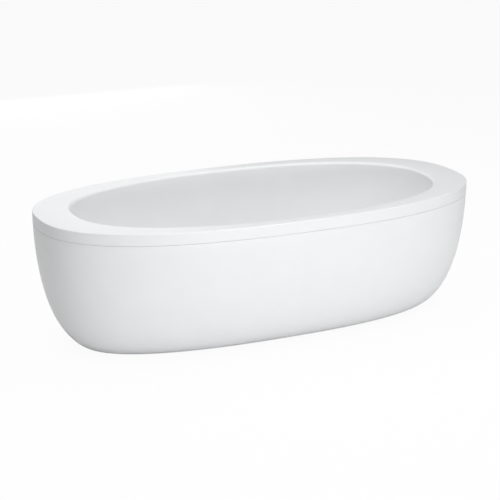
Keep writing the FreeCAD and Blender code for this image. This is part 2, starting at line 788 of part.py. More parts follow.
def waste_body():
    """A pot under the floor with a spigot for the hose, a boss for the lever's shaft and a cable stop."""
    neck = "barrel_radius + fit_gap"
    flange_under = f"({WASTE_TOP} - body_plate)"
    spigot_low = f"({WASTE_FLOOR} - outlet_drop)"
    inside = f"({WASTE_FLOOR} + body_plate)"
    pot = turned([
        ("body_flange", WASTE_TOP), ("body_flange", flange_under), ("body_radius", flange_under),
        ("body_radius", WASTE_FLOOR), ("outlet_radius", WASTE_FLOOR), ("outlet_radius", spigot_low),
        ("outlet_bore", spigot_low), ("outlet_bore", inside), ("body_bore", inside),
        ("body_bore", BARREL_END), (neck, BARREL_END), (neck, WASTE_TOP)])
    boss = cylinder("boss_radius", "boss_out", 0, "lever_arm", LEVER_HEIGHT, ALONG_X)
    reach = "body_radius + spigot_length"
    spigot = cylinder(SPIGOT, reach, 0, 0, INLET_HEIGHT, TOWARDS_FRONT)
    stop = box("shaft_out + stop_margin - body_bore", "cable_radius * 2", "boss_radius * 2",
               "(shaft_out + stop_margin + body_bore) / 2", "-body_radius / 2", f"{CABLE_HEIGHT} - boss_radius")
    chamber = cylinder("body_bore", f"{BARREL_END} - {inside}", 0, 0, inside)
    bore = cylinder("shaft_radius + running_gap", "boss_out", 0, "lever_arm", LEVER_HEIGHT, ALONG_X)
    inlet = cylinder(f"{SPIGOT} - spigot_wall", reach, 0, 0, INLET_HEIGHT, TOWARDS_FRONT)
    return cut(fuse(pot, boss, spigot, stop), chamber, bore, inlet)


def lift_lever():
    """A shaft with the lever that lifts the plug inside the pot and the crank that the cable pulls outside."""
    shaft = cylinder("shaft_radius", "shaft_out + shaft_in", "-shaft_in", "lever_arm", LEVER_HEIGHT, ALONG_X)
    reach, half = "(lever_arm + lever_tip)", "(lever_sheet / 2)"
    arm = bind(fresh("Part::Box", "Arm"), Length="lever_width", Width=reach, Height="lever_sheet")
    place(arm, "-lever_width / 2",
          f"lever_arm - {reach} * cos({LEVER_TILT}) + {half} * sin({LEVER_TILT})",
          f"{LEVER_HEIGHT} - {reach} * sin({LEVER_TILT}) - {half} * cos({LEVER_TILT})",
          Rotation(Vector(1, 0, 0), size(LEVER_TILT)))
    crank = box("crank_sheet", "crank_width", "crank_under + crank_length + crank_over",
                "shaft_out - crank_sheet / 2", "lever_arm", f"{LEVER_HEIGHT} - crank_under")
    return fuse(shaft, arm, crank)


def plug_cap():
    top = f"({PLUG_UNDER} + plug_height)"
    cap = turned([
        (0, NECK_END), ("plug_neck", NECK_END), ("plug_neck", PLUG_UNDER), ("plug_radius", PLUG_UNDER),
        ("plug_radius", f"{top} - plug_height / 2"), ("plug_radius * 0.8", f"{top} - plug_height / 8"), (0, top)],
        "plug_height / 6", [("plug_radius", f"{top} - plug_height / 2")])
    groove = bind(fresh("Part::Torus", "Groove"), Radius1="plug_seal_radius", Radius2="plug_seal_cord")
    return cut(cap, place(groove, 0, 0, PLUG_UNDER))


def plug_seal():
    seal = bind(fresh("Part::Torus", "Seal"), Radius1="plug_seal_radius", Radius2="plug_seal_cord")
    return place(seal, 0, 0, PLUG_UNDER)


def plug_stem():
    rod = cylinder("stem_radius", f"{NECK_END} - {STEM_TIP}", 0, 0, STEM_TIP)
    return fuse(rod, ball("stem_radius", 0, 0, STEM_TIP))


subpart("waste_flange", waste_flange())
subpart("waste_seal", flat_ring("body_flange", "waste_hole", "seal_thickness", WASTE_TOP))
subpart("waste_body", waste_body())
subpart("lift_lever", lift_lever())
subpart("plug_cap", plug_cap())
subpart("plug_seal", plug_seal())
subpart("plug_stem", plug_stem())


# ---- trap and drain pipe ----

U_TURN = Rotation(Vector(1, 0, 0), -90)
OUT_TURN = Rotation(Vector(-1, 0, 0), UP, Vector(0, 1, 0), "XYZ")
SOCKET_RADIUS = "(outlet_radius + socket_wall)"
NUT_RADIUS = f"({SOCKET_RADIUS} + trap_nut_wall)"
SPIGOT_LOW = f"({WASTE_FLOOR} - outlet_drop - fit_gap)"
PIPE_HEIGHT = "(trap_top + outlet_turn)"
PIPE_START = "(2 * trap_bend + outlet_turn)"


def trap_pipe(radius):
    """The trap's U and its turn to the outlet as one solid pipe."""
    inlet = cylinder(radius, f"{SPIGOT_LOW} - trap_top", 0, 0, "trap_top")
    under = bend("trap_bend", radius, 180, "trap_bend", 0, "trap_top", U_TURN)
    out = bend("outlet_turn", radius, 90, PIPE_START, 0, "trap_top", OUT_TURN)
    return fuse(inlet, under, out)


def socket(length, x, z, turn=None):
    """A pipe socket: its floor has the pipe's bore and the rest takes a pipe's outside."""
    outside = cylinder(SOCKET_RADIUS, length, x, 0, z, turn)
    through = cylinder("outlet_bore", length, x, 0, z, turn)
    floor = "(outlet_radius - outlet_bore)"
    seat = (f"{x} + {floor}", z) if turn is not None else (x, f"{z} + {floor}")
    pipe = cylinder("outlet_radius + fit_gap", length, seat[0], 0, seat[1], turn)
    return cut(outside, through, pipe)


def trap_body():
    pipe = cut(trap_pipe("outlet_radius"), trap_pipe("outlet_bore"))
    floor = "(outlet_radius - outlet_bore)"
    inlet = socket(f"socket_grip + {floor}", 0, f"{SPIGOT_LOW} - {floor}")
    outlet = socket("outlet_turn", PIPE_START, PIPE_HEIGHT, ALONG_X)
    lower_pipe = cut(pipe, cylinder(SOCKET_RADIUS, floor, 0, 0, f"{SPIGOT_LOW} - {floor}"))
    return fuse(lower_pipe, inlet, outlet)


def slip_nut(z):
    """A nut turned by hand, with grips round it."""
    nut = cylinder(NUT_RADIUS, "trap_nut_height", 0, 0, z)
    bore = cylinder(f"{SOCKET_RADIUS} + fit_gap", "trap_nut_height", 0, 0, z)
    grips = []
    for index in range(NUT_GRIPS):
        angle = f"({index * 360 / NUT_GRIPS})"
        x, y = f"{NUT_RADIUS} * cos({angle})", f"{NUT_RADIUS} * sin({angle})"
        grips.append(cylinder("trap_nut_grip", "trap_nut_height", x, y, z))
    return cut(nut, bore, *grips)


def drain_pipe():
    start = f"{PIPE_START} + outlet_radius - outlet_bore"
    outside = cylinder("outlet_radius", "outlet_pipe_length", start, 0, PIPE_HEIGHT, ALONG_X)
    return cut(outside, cylinder("outlet_bore", "outlet_pipe_length", start, 0, PIPE_HEIGHT, ALONG_X))


subpart("trap_body", trap_body())
subpart("trap_inlet_nut", slip_nut(f"{SPIGOT_LOW} + socket_grip - trap_nut_height"))
outlet_nut = subpart("trap_outlet_nut", slip_nut(0))
place(outlet_nut, f"{PIPE_START} + outlet_turn - trap_nut_height", 0, PIPE_HEIGHT, ALONG_X)
subpart("drain_pipe", drain_pipe())


# ---- overflow, drawn on its own axis and set against the wall ----

WALL_BACK = "(shell_wall + bond_gap + backing_wall + seat_gap)"
BODY_FRONT = f"({WALL_BACK} + seal_thickness)"
RING_FRONT = "(seat_gap + overflow_plate)"
KNOB_UNDER = f"({RING_FRONT} + knob_gap)"
CHAMBER_FRONT = f"({BODY_FRONT} + body_plate)"
CHAMBER_BACK = f"({CHAMBER_FRONT} + chamber_depth)"
SPIGOT_DEPTH = f"({CHAMBER_FRONT} + chamber_depth / 2)"
CABLE_DEPTH = f"({CHAMBER_BACK} - chamber_wall - cam_height)"
CABLE_ASIDE = "(clamp_radius + cable_radius * 2)"
DOWN_THE_WALL = Rotation(Vector(1, 0, 0), -90)


def on_wall(label, thing):
    """Names a part drawn on the overflow's axis and puts it at the wall."""
    subpart(label, thing)
    thing.Placement = OVERFLOW_PLACE
    return thing


def screw_ring():
    return [("overflow_screw_ring", 0), ("-overflow_screw_ring", 0)]


def overflow_body():
    flange = cylinder("body_flange", "body_plate", 0, 0, f"-{CHAMBER_FRONT}")
    pot = cylinder("chamber_radius", "chamber_depth", 0, 0, f"-{CHAMBER_BACK}")
    reach = "chamber_radius + spigot_length"
    spigot = cylinder(SPIGOT, reach, 0, 0, f"-{SPIGOT_DEPTH}", DOWN_THE_WALL)
    gland = cylinder("cable_radius * 2", "chamber_radius + cable_radius", CABLE_ASIDE, 0, f"-{CABLE_DEPTH}",
                     DOWN_THE_WALL)
    hollow = cylinder("chamber_radius - chamber_wall", f"{CHAMBER_BACK} - chamber_wall - {BODY_FRONT}", 0, 0,
                      f"-{CHAMBER_BACK} + chamber_wall")
    inlet = cylinder(f"{SPIGOT} - spigot_wall", reach, 0, 0, f"-{SPIGOT_DEPTH}", DOWN_THE_WALL)
    bosses = [cylinder("screw_head", "chamber_depth / 2 + body_plate", x, y, f"-{SPIGOT_DEPTH}")
              for x, y in screw_ring()]
    pilots = [cylinder("screw_radius + running_gap", "chamber_depth", x, y, f"-{SPIGOT_DEPTH} + chamber_wall")
              for x, y in screw_ring()]
    shell = cut(fuse(flange, pot, spigot, gland), hollow, inlet)
    return cut(fuse(shell, *bosses), *pilots)


def overflow_ring():
    plate = turned([
        ("overflow_bore", "seat_gap"), ("overflow_flange_radius", "seat_gap"),
        ("overflow_flange_radius", f"{RING_FRONT} - overflow_plate / 2"),
        ("overflow_flange_radius - overflow_plate", RING_FRONT), ("overflow_bore", RING_FRONT)],
        "overflow_plate / 4", [("overflow_flange_radius", f"{RING_FRONT} - overflow_plate / 2")])
    hub = cylinder("guide_radius", "overflow_plate", 0, 0, "seat_gap")
    reach = "overflow_bore * 2 + overflow_plate"
    arms = [box(reach, "guide_arm", "overflow_plate", 0, 0, "seat_gap"),
            box("guide_arm", reach, "overflow_plate", 0, 0, "seat_gap")]
    bore = cylinder("spindle_radius + running_gap", "overflow_plate", 0, 0, "seat_gap")
    holes = [cylinder("screw_radius + running_gap", "overflow_plate", x, y, "seat_gap") for x, y in screw_ring()]
    return cut(fuse(plate, hub, *arms), bore, *holes)


def overflow_screws():
    screws = []
    for x, y in screw_ring():
        end = f"-{SPIGOT_DEPTH} + chamber_wall * 2"
        shank = cylinder("screw_radius", f"{RING_FRONT} - ({end})", x, y, end)
        head = cylinder("screw_head", "screw_head_height", x, y, RING_FRONT)
        screws.append(fuse(shank, head))
    return group(*screws)


def overflow_knob():
    top = f"({KNOB_UNDER} + knob_height)"
    knob = turned([
        (0, KNOB_UNDER), ("knob_radius", KNOB_UNDER), ("knob_radius", f"{top} - knob_height / 4"),
        ("knob_radius - knob_height / 4", top), (0, top)],
        "knob_height / 6", [("knob_radius", f"{top} - knob_height / 4"), ("knob_radius - knob_height / 4", top)])
    notches = []
    for index in range(KNOB_NOTCHES):
        angle = f"({(index + 0.5) * 360 / KNOB_NOTCHES})"
        reach = "(knob_radius + knob_notch / 2)"
        notches.append(cylinder("knob_notch", "knob_height", f"{reach} * cos({angle})",
                                f"{reach} * sin({angle})", KNOB_UNDER))
    return cut(knob, *notches)


def knob_spindle():
    drum = f"-{CABLE_DEPTH} - cam_height / 2"
    rod = cylinder("spindle_radius", f"{KNOB_UNDER} - ({drum})", 0, 0, drum)
    return fuse(rod, cylinder("cam_radius", "cam_height", 0, 0, drum))


on_wall("overflow_body", overflow_body())
on_wall("overflow_seal", flat_ring("body_flange", "overflow_hole", "seal_thickness", f"-{BODY_FRONT}"))
on_wall("overflow_ring", overflow_ring())
on_wall("overflow_screws", overflow_screws())
on_wall("overflow_knob", overflow_knob())
on_wall("knob_spindle", knob_spindle())


# ---- hose and lift cable between the wall and the apron ----

def rounded_path(points):
    """Straight runs joined by tangent arcs, each as large as its two runs allow."""
    edges = []
    start = points[0]
    for before, corner, after in zip(points, points[1:], points[2:]):
        back, ahead = before - corner, after - corner
        turn = math.pi - back.getAngle(ahead)
        trim = 0.45 * min(back.Length, ahead.Length)
        print(f"  bend radius {trim / math.tan(turn / 2):.0f}")
        first = corner + back.normalize() * trim
        last = corner + ahead.normalize() * trim
        middle = back + ahead
        middle.normalize()
        radius = trim / math.tan(turn / 2)
        sag = math.hypot(radius, trim) - radius
        edges.append(Part.LineSegment(start, first).toShape())
        edges.append(Part.Arc(first, corner + middle * sag, last).toShape())
        start = last
    edges.append(Part.LineSegment(start, points[-1]).toShape())
    return Part.Wire(edges)


def swept(path, radius):
    first = path.Edges[0]
    start = first.valueAt(first.FirstParameter)
    along = first.tangentAt(first.FirstParameter)
    ring = Part.Wire(Part.makeCircle(radius, start, along))
    return path.makePipeShell([ring], True, False)


def wall_line(height, clear):
    """A point beside the front wall's backing at a height, the given distance clear of it."""
    rings = offset(BASIN, size("shell_wall + bond_gap + backing_wall") + clear)
    return point_on_side(rings, height)[0]


def overflow_hose():
    clear = size("hose_gap + hose_radius")
    begin = OVERFLOW_PLACE.multVec(Vector(0, size("chamber_radius + chamber_wall"), -size(SPIGOT_DEPTH)))
    below = OVERFLOW_PLACE.multVec(Vector(0, size("chamber_radius * 3"), -size(SPIGOT_DEPTH)))
    low = size(INLET_HEIGHT)
    beside = wall_line((below.z + low) / 2, clear)
    corner = wall_line((beside.z + low) / 2, clear)
    corner = Vector(0, corner.y, low)
    end = Vector(0, -size("body_radius + chamber_wall"), low)
    path = rounded_path([begin, below, beside, corner, end])
    return swept(path, size("hose_radius")).cut(swept(path, size("hose_bore")))


def lift_cable():
    clear = size("hose_gap + hose_radius")
    aside = Vector(size(CABLE_ASIDE), 0, 0)
    begin = OVERFLOW_PLACE.multVec(Vector(aside.x, size("chamber_radius + cable_radius"), -size(CABLE_DEPTH)))
    below = OVERFLOW_PLACE.multVec(Vector(aside.x, size("chamber_radius * 3"), -size(CABLE_DEPTH)))
    end_x = size("shaft_out - crank_sheet / 2")
    low = size(CABLE_HEIGHT)
    beside = wall_line((below.z + low) / 2, clear) + aside
    corner = wall_line((beside.z + low) / 2, clear)
    corner = Vector((aside.x + end_x) / 2, corner.y, low)
    end = Vector(end_x, size("-body_radius / 2 - cable_radius"), low)
    turn_in = blend(corner, end, 0.5)
    turn_in.x = end_x
    path = rounded_path([begin, below, beside, corner, turn_in, end])
    return swept(path, size("cable_radius"))


def hose_clamps():
    """A worm-drive clamp round each end of the hose."""
    def clamp():
        band = flat_ring("clamp_radius", "hose_radius + fit_gap", "clamp_width", 0)
        screw = box("clamp_width * 2", "clamp_width / 2", "clamp_width", 0, "-clamp_radius - clamp_width / 6", 0)
        bore = cylinder("hose_radius + fit_gap", "clamp_width")
        return cut(fuse(band, screw), bore)

    upper, lower = clamp(), clamp()
    gap = size("2 * chamber_wall")
    seat = Vector(0, size("chamber_radius") + gap, -size(SPIGOT_DEPTH))
    upper.Placement = OVERFLOW_PLACE * Placement(seat, DOWN_THE_WALL)
    lower.Placement = Placement(Vector(0, -size("body_radius") - gap, size(INLET_HEIGHT)), TOWARDS_FRONT)
    return group(upper, lower)


subpart("overflow_hose", set_shape(overflow_hose()))
subpart("lift_cable", set_shape(lift_cable()))
subpart("hose_clamps", hose_clamps())


# ---- check and write ----

doc.recompute()
for item in doc.Objects:
    if "Invalid" in item.State or "Error" in item.State:
        raise RuntimeError(f"{item.Name} ({item.Label}) did not recompute: {item.State}")
for label, item in subparts.items():
    if item.Shape.isNull() or not item.Shape.isValid():
        raise RuntimeError(f"{label} has no valid shape")

os.makedirs("parts", exist_ok=True)
for label, item in subparts.items():
    item.Shape.exportStep(f"parts/{label}.step")
    print(f"{label}: {item.Shape.Volume / 1000:.1f} cm3, {len(item.Shape.Solids)} solids")
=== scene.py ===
import json
import math

import bmesh
import bpy
from mathutils import Matrix, Vector


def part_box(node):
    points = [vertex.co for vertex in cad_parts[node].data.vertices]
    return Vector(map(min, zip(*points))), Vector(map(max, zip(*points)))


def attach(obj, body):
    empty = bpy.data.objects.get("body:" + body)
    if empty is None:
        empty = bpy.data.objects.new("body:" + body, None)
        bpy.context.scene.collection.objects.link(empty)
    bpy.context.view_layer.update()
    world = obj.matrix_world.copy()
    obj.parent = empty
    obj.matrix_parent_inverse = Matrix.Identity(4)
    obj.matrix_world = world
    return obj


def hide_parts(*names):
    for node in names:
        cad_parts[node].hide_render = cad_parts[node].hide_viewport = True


bl_info = {
    "name": "Freestanding Bath",
    "version": (1, 0, 0),
    "blender": (4, 5, 0),
    "location": "View3D > Sidebar > Bath",
    "description": "Builds the finished surfaces of an oval freestanding bath round its engineering frame",
    "category": "Object",
}

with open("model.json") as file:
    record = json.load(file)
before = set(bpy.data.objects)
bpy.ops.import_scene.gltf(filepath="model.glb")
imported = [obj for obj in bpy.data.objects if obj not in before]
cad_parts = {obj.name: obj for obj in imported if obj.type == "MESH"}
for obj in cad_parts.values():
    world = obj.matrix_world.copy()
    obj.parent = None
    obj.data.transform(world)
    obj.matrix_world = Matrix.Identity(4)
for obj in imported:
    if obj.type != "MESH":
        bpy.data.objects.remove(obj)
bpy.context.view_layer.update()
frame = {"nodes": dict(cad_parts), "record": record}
MM = 0.001
UP = Vector((0, 0, 1))
MERGE = 1e-6  # points nearer than this are one point
SHARP = 35  # degrees between faces from which an edge shows as an edge
FEET = ("front_left", "rear_left", "front_right", "rear_right")
MATH = "ShaderNodeMath"
NOISE = "ShaderNodeTexNoise"


# ---- sizes read from the frame ----

def low(node):
    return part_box(node)[0]


def high(node):
    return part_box(node)[1]


def solids(node):
    """The lowest and highest corner of each separate solid of a CAD node."""
    mesh = bmesh.new()
    mesh.from_mesh(frame["nodes"][node].data)
    bmesh.ops.remove_doubles(mesh, verts=mesh.verts, dist=1e-5)
    found, seen = [], set()
    for start in mesh.verts:
        if start in seen:
            continue
        island, waiting = [], [start]
        seen.add(start)
        while waiting:
            vertex = waiting.pop()
            island.append(vertex.co.copy())
            for edge in vertex.link_edges:
                other = edge.other_vert(vertex)
                if other not in seen:
                    seen.add(other)
                    waiting.append(other)
        found.append((Vector([min(co[axis] for co in island) for axis in range(3)]),
                      Vector([max(co[axis] for co in island) for axis in range(3)])))
    mesh.free()
    return found


def seat_of(box):
    """The middle of a box's underside."""
    first, last = box
    return Vector(((first.x + last.x) / 2, (first.y + last.y) / 2, first.z))


RIM_TOP = high("tub_shell")
FLOOR_UNDER = low("tub_shell").z
APRON_FOOT = low("apron_panel").z


# ---- sizes and colours that a user would change ----

def length(name, description, default):
    return bpy.props.FloatProperty(
        name=name, description=description, default=default, min=0, precision=4,
        subtype="DISTANCE", unit="LENGTH")


def share(name, description, default):
    return bpy.props.FloatProperty(name=name, description=description, default=default, min=0, max=1)


def number(name, description, default):
    return bpy.props.FloatProperty(name=name, description=description, default=default, min=0)


def angle_of(name, description, default):
    return bpy.props.FloatProperty(
        name=name, description=description, default=math.radians(default), subtype="ANGLE", unit="ROTATION")


def watts(name, description, default):
    return bpy.props.FloatProperty(name=name, description=description, default=default, min=0, unit="POWER")


def count(name, description, default):
    return bpy.props.IntProperty(name=name, description=description, default=default, min=3)


def colour(name, description, default):
    return bpy.props.StringProperty(name=name, description=description, default=default)


class BathShape(bpy.types.PropertyGroup):
    """Sizes of the acrylic shell and its apron"""
    outline_power: number("Outline Power", "Superellipse power of the rim's outer edge", 2.45)
    opening_power: number("Opening Power", "Superellipse power of the basin's curves", 2.31)
    rim_end: length("Rim at Ends", "Width of the flat rim at the two ends", 0.162)
    rim_side: length("Rim at Sides", "Width of the flat rim at the long sides", 0.072)
    edge_radius: length("Edge Radius", "Rounding of the rim's outer edge", 0.004)
    roll_radius: length("Roll Radius", "Rounding from the rim into the basin", 0.014)
    sheet: length("Sheet", "Thickness of the acrylic sheet", 0.005)
    backing: length("Backing", "Thickness of the glass-fibre backing", 0.004)
    bond: length("Bond Line", "Resin line between the sheet and its backing", 0.0003)
    backing_drop: length("Backing Drop", "Rim to the backing's upper edge", 0.030)
    lip_depth: length("Lip Depth", "Height of the lip turned down under the rim", 0.050)
    seam_gap: length("Seam", "Shadow gap between the lip and the apron", 0.0012)
    tongue_height: length("Tongue", "How far the apron's tongue stands up behind the lip", 0.026)
    tongue_gap: length("Tongue Gap", "Gap between the lip and the tongue", 0.001)
    trimmed_edge: length("Trimmed Edge", "Rounding of the sheets' trimmed edges", 0.0004)
    floor_length: length("Floor Length", "Flat part of the basin's floor, lengthways", 1.0)
    floor_width: length("Floor Width", "Flat part of the basin's floor, across", 0.43)
    inset_end: length("End Inset", "How far the apron draws in at the ends", 0.206)
    inset_side: length("Side Inset", "How far the apron draws in at the long sides", 0.246)
    wall_drop: share("Wall Drop", "Share of the height that the side holds near upright", 0.688)
    tuck_share: share("Tuck Share", "Share of the inset where the side turns under", 0.506)
    tuck_height: share("Tuck Height", "Height of that turn as a share of the tub's height", 0.029)
    waste_radius: length("Waste Hole", "Radius of the hole in the basin's floor", 0.026)
    overflow_radius: length("Overflow Hole", "Radius of the hole in the basin's wall", 0.028)
    overflow_drop: length("Overflow Drop", "Rim to the overflow's centre", 0.088)
    stations: count("Stations", "Points round each curve of the tub", 288)


class BathFittings(bpy.types.PropertyGroup):
    """Sizes of the plug, the overflow's trim, the feet and the hose"""
    plug_neck: length("Plug Neck", "Radius of the plug's neck in the waste", 0.018)
    plug_height: length("Plug Height", "Height of the plug cap over its neck", 0.009)
    plug_edge: length("Plug Edge", "Rounding of the plug cap", 0.001)
    knob_radius: length("Knob Radius", "Radius of the overflow knob", 0.031)
    knob_height: length("Knob Height", "Height of the overflow knob", 0.013)
    knob_lift: length("Knob Lift", "Basin's wall to the knob's underside", 0.0114)
    knob_notch: length("Knob Notch", "Radius of a finger notch", 0.005)
    knob_edge: length("Knob Edge", "Rounding of the knob's edges", 0.002)
    knob_notches: count("Knob Notches", "Finger notches round the knob", 8)
    trim_front: length("Trim Front", "Basin's wall to the front of the overflow's ring", 0.0054)
    trim_screw_ring: length("Trim Screw Ring", "Overflow's axis to its two screws", 0.025)
    trim_screw_depth: length("Trim Screw Depth", "Basin's wall to the points of those screws", 0.0317)
    screw_radius: length("Screw Radius", "Radius over the thread of the screws", 0.0024)
    screw_pitch: length("Screw Pitch", "Pitch of the screws", 0.0018)
    screw_head_height: length("Screw Head", "Height of the screws' heads", 0.0026)
    rod_radius: length("Rod Radius", "Radius over the thread of the levelling rods", 0.006)
    rod_pitch: length("Rod Pitch", "Pitch of the levelling rods", 0.00175)
    collar_lift: length("Collar Lift", "Floor to the hexagon that turns a rod", 0.034)
    collar_height: length("Collar Height", "Height of that hexagon", 0.008)
    hose_radius: length("Hose Radius", "Radius over the hose's ribs", 0.015)
    hose_gap: length("Hose Gap", "Hose clear of the backing", 0.006)
    hose_start: length("Hose Start", "Fitting's axis to the hose's end", 0.034)
    hose_below: length("Hose Below", "Overflow's axis to the hose's first bend", 0.093)
    hose_depth: length("Hose Depth", "Basin's wall to the hose at the overflow", 0.0377)
    hose_inlet: length("Hose Inlet", "Height of the hose at the waste", 0.1227)
    rib_depth: length("Rib Depth", "Depth between the hose's ribs", 0.0012)
    rib_spacing: length("Rib Spacing", "Rib to rib along the hose", 0.005)


class BathColours(bpy.types.PropertyGroup):
    """Colours of the bath's materials, as sRGB hex"""
    acrylic: colour("Acrylic", "Sanitary white acrylic sheet", "#EEEFF0")
    resin: colour("Resin", "Cured laminating resin", "#C9BE97")
    glass_strand: colour("Glass Strand", "Glass strands that show through the resin", "#E4E0CC")
    birch_face: colour("Birch Face", "Birch veneer", "#D8B98A")
    birch_grain: colour("Birch Grain", "Darker grain of the veneer", "#B48B57")
    powder_coat: colour("Powder Coat", "Satin black powder coat of the rails", "#232426")
    zinc: colour("Zinc", "Bright zinc plating", "#C3C6C9")
    zinc_bloom: colour("Zinc Bloom", "Dull patches of the plating", "#9DA2A6")
    rubber: colour("Rubber", "Seals and clamps' lining", "#1E1F20")
    foot_plastic: colour("Foot Plastic", "Moulded feet", "#2B2D2F")
    chrome: colour("Chrome", "Chromium plating", "#D9DBDD")
    brass: colour("Brass", "Turned brass", "#C6A35A")
    fitting_plastic: colour("Fitting Plastic", "White moulded fittings", "#E3E4E1")
    hose_plastic: colour("Hose Plastic", "Ribbed hose", "#C4C7C8")
    cable_plastic: colour("Cable Plastic", "Sheath of the lift cable", "#24272B")


class BathStudio(bpy.types.PropertyGroup):
    """Lights and floor of the studio"""
    floor_size: length("Floor Size", "Width of the studio's paper floor", 80)
    overhead: watts("Overhead", "Softbox straight above", 132)
    over_front: watts("Over Front", "Softbox above the front", 38)
    front: watts("Front", "Softbox before the front long side, low down", 90)
    left: watts("Left", "Softbox at the front left", 3)
    rear: watts("Rear", "Softbox behind", 22)
    rear_low: watts("Rear Low", "Softbox behind, low down", 24)
    air: number("Air", "Brightness of the studio's walls", 0.2)
    shadow: share("Shadow", "How much of the object's shadow the lit paper shows", 0.06)
    focal_length: number("Focal Length", "Focal length of the camera in millimetres", 106.6)
    view_azimuth: angle_of("View Azimuth", "Turn of the camera round the bath from its front", -25.15)
    view_elevation: angle_of("View Elevation", "Height of the camera as an angle", 17.24)
    view_distance: length("View Distance", "Camera to the middle of the bath", 6.697)


# ---- nodes and materials ----

def add(tree, kind, inputs=(), out=None, **settings):
    """Adds a node with its settings and its inputs, each a value or the output that feeds it. It gives back
    one of the node's outputs, by name or number, or the whole node."""
    node = tree.nodes.new(kind)
    for name, value in settings.items():
        setattr(node, name, value)
    for name, value in dict(inputs).items():
        if isinstance(value, bpy.types.NodeSocket):
            tree.links.new(value, node.inputs[name])
        else:
            node.inputs[name].default_value = value
    return node if out is None else node.outputs[out]


def linear(hex_text):
    """An sRGB hex colour as the linear colour that shaders take."""
    channels = [int(hex_text[start:start + 2], 16) / 255 for start in (1, 3, 5)]
    return [c / 12.92 if c <= 0.04045 else ((c + 0.055) / 1.055) ** 2.4 for c in channels] + [1.0]


def per_metre(millimetres):
    """Scale of a texture whose features are this far apart."""
    return 1 / (millimetres * MM)


def start_material(name, **constants):
    """A new material: its tree, its shader and the object's own coordinates."""
    finish = bpy.data.materials.new(name)
    finish.use_nodes = True
    tree = finish.node_tree
    shader = tree.nodes["Principled BSDF"]
    for socket, value in constants.items():
        shader.inputs[socket.replace("_", " ")].default_value = value
    return finish, tree, shader, add(tree, "ShaderNodeTexCoord", out="Object")


def make_surface(tree, shader, tones, gloss, *reliefs):
    """Joins patterns to a shader: tones is (pattern, first colour, second colour), gloss is (pattern, least
    roughness, most roughness), and each relief is (pattern, depth in mm)."""
    tone, first, second = tones
    shade = add(tree, "ShaderNodeMix", {0: tone, 6: linear(first), 7: linear(second)}, 2, data_type="RGBA")
    wear, least, most = gloss
    # a noise's grey lies between about 0.3 and 0.7
    rough = add(tree, "ShaderNodeMapRange", {
        "Value": wear, "From Min": 0.3, "From Max": 0.7, "To Min": least, "To Max": most}, "Result")
    joined_to = {"Base Color": shade, "Roughness": rough}
    for height, depth in reliefs:
        under = {"Normal": joined_to["Normal"]} if "Normal" in joined_to else {}
        joined_to["Normal"] = add(tree, "ShaderNodeBump", {
            "Height": height, "Strength": 1, "Distance": depth * MM, **under}, "Normal")
    for socket, source in joined_to.items():
        tree.links.new(source, shader.inputs[socket])


def patchy_material(name, tones, gloss, patch, grain, depth, **constants):
    """A material whose tone and gloss drift in patches over a fine relief. patch and grain are a noise's
    spacing in mm and its detail, and depth is the relief's in mm."""
    finish, tree, shader, where = start_material(name, **constants)
    patches, grains = [
        add(tree, NOISE, {"Vector": where, "Scale": per_metre(spacing), "Detail": detail}, "Fac")
        for spacing, detail in (patch, grain)]
    make_surface(tree, shader, (patches, *tones), (patches, *gloss), (grains, depth))
    return finish


def cast_acrylic(colours):
    """Cast acrylic sheet, drawn down over a mould and polished: a deep clear gloss that holds the mould's
    slow waves, with hair-fine polishing marks that break the highlight up a little."""
    finish, tree, shader, where = start_material("cast_acrylic", IOR=1.49)
    slow = add(tree, NOISE, {"Vector": where, "Scale": per_metre(90), "Detail": 1}, "Fac")
    peel = add(tree, NOISE, {"Vector": where, "Scale": per_metre(2.5), "Detail": 2}, "Fac")
    marks = add(tree, NOISE, {"Vector": where, "Scale": per_metre(0.8), "Detail": 4, "Roughness": 0.7}, "Fac")
    make_surface(tree, shader, (slow, colours.acrylic, "#EBECED"), (marks, 0.28, 0.38),
                 (slow, 0.12), (peel, 0.006))
    return finish


def glass_fibre(colours):
    """Chopped strands sprayed on with polyester resin: strands lie every way under a wet-looking, lumpy skin.
    Real strands are a tenth of a millimetre wide, so they are drawn as bundles about 2 mm wide."""
    finish, tree, shader, where = start_material("glass_fibre", IOR=1.55)
    strands = add(tree, NOISE, {
        "Vector": where, "Scale": per_metre(14), "Detail": 6, "Roughness": 0.75, "Distortion": 2.5}, "Fac")
    lumps = add(tree, NOISE, {"Vector": where, "Scale": per_metre(25), "Detail": 3}, "Fac")
    make_surface(tree, shader, (strands, colours.resin, colours.glass_strand), (lumps, 0.3, 0.6),
                 (lumps, 2.5), (strands, 0.8))
    return finish


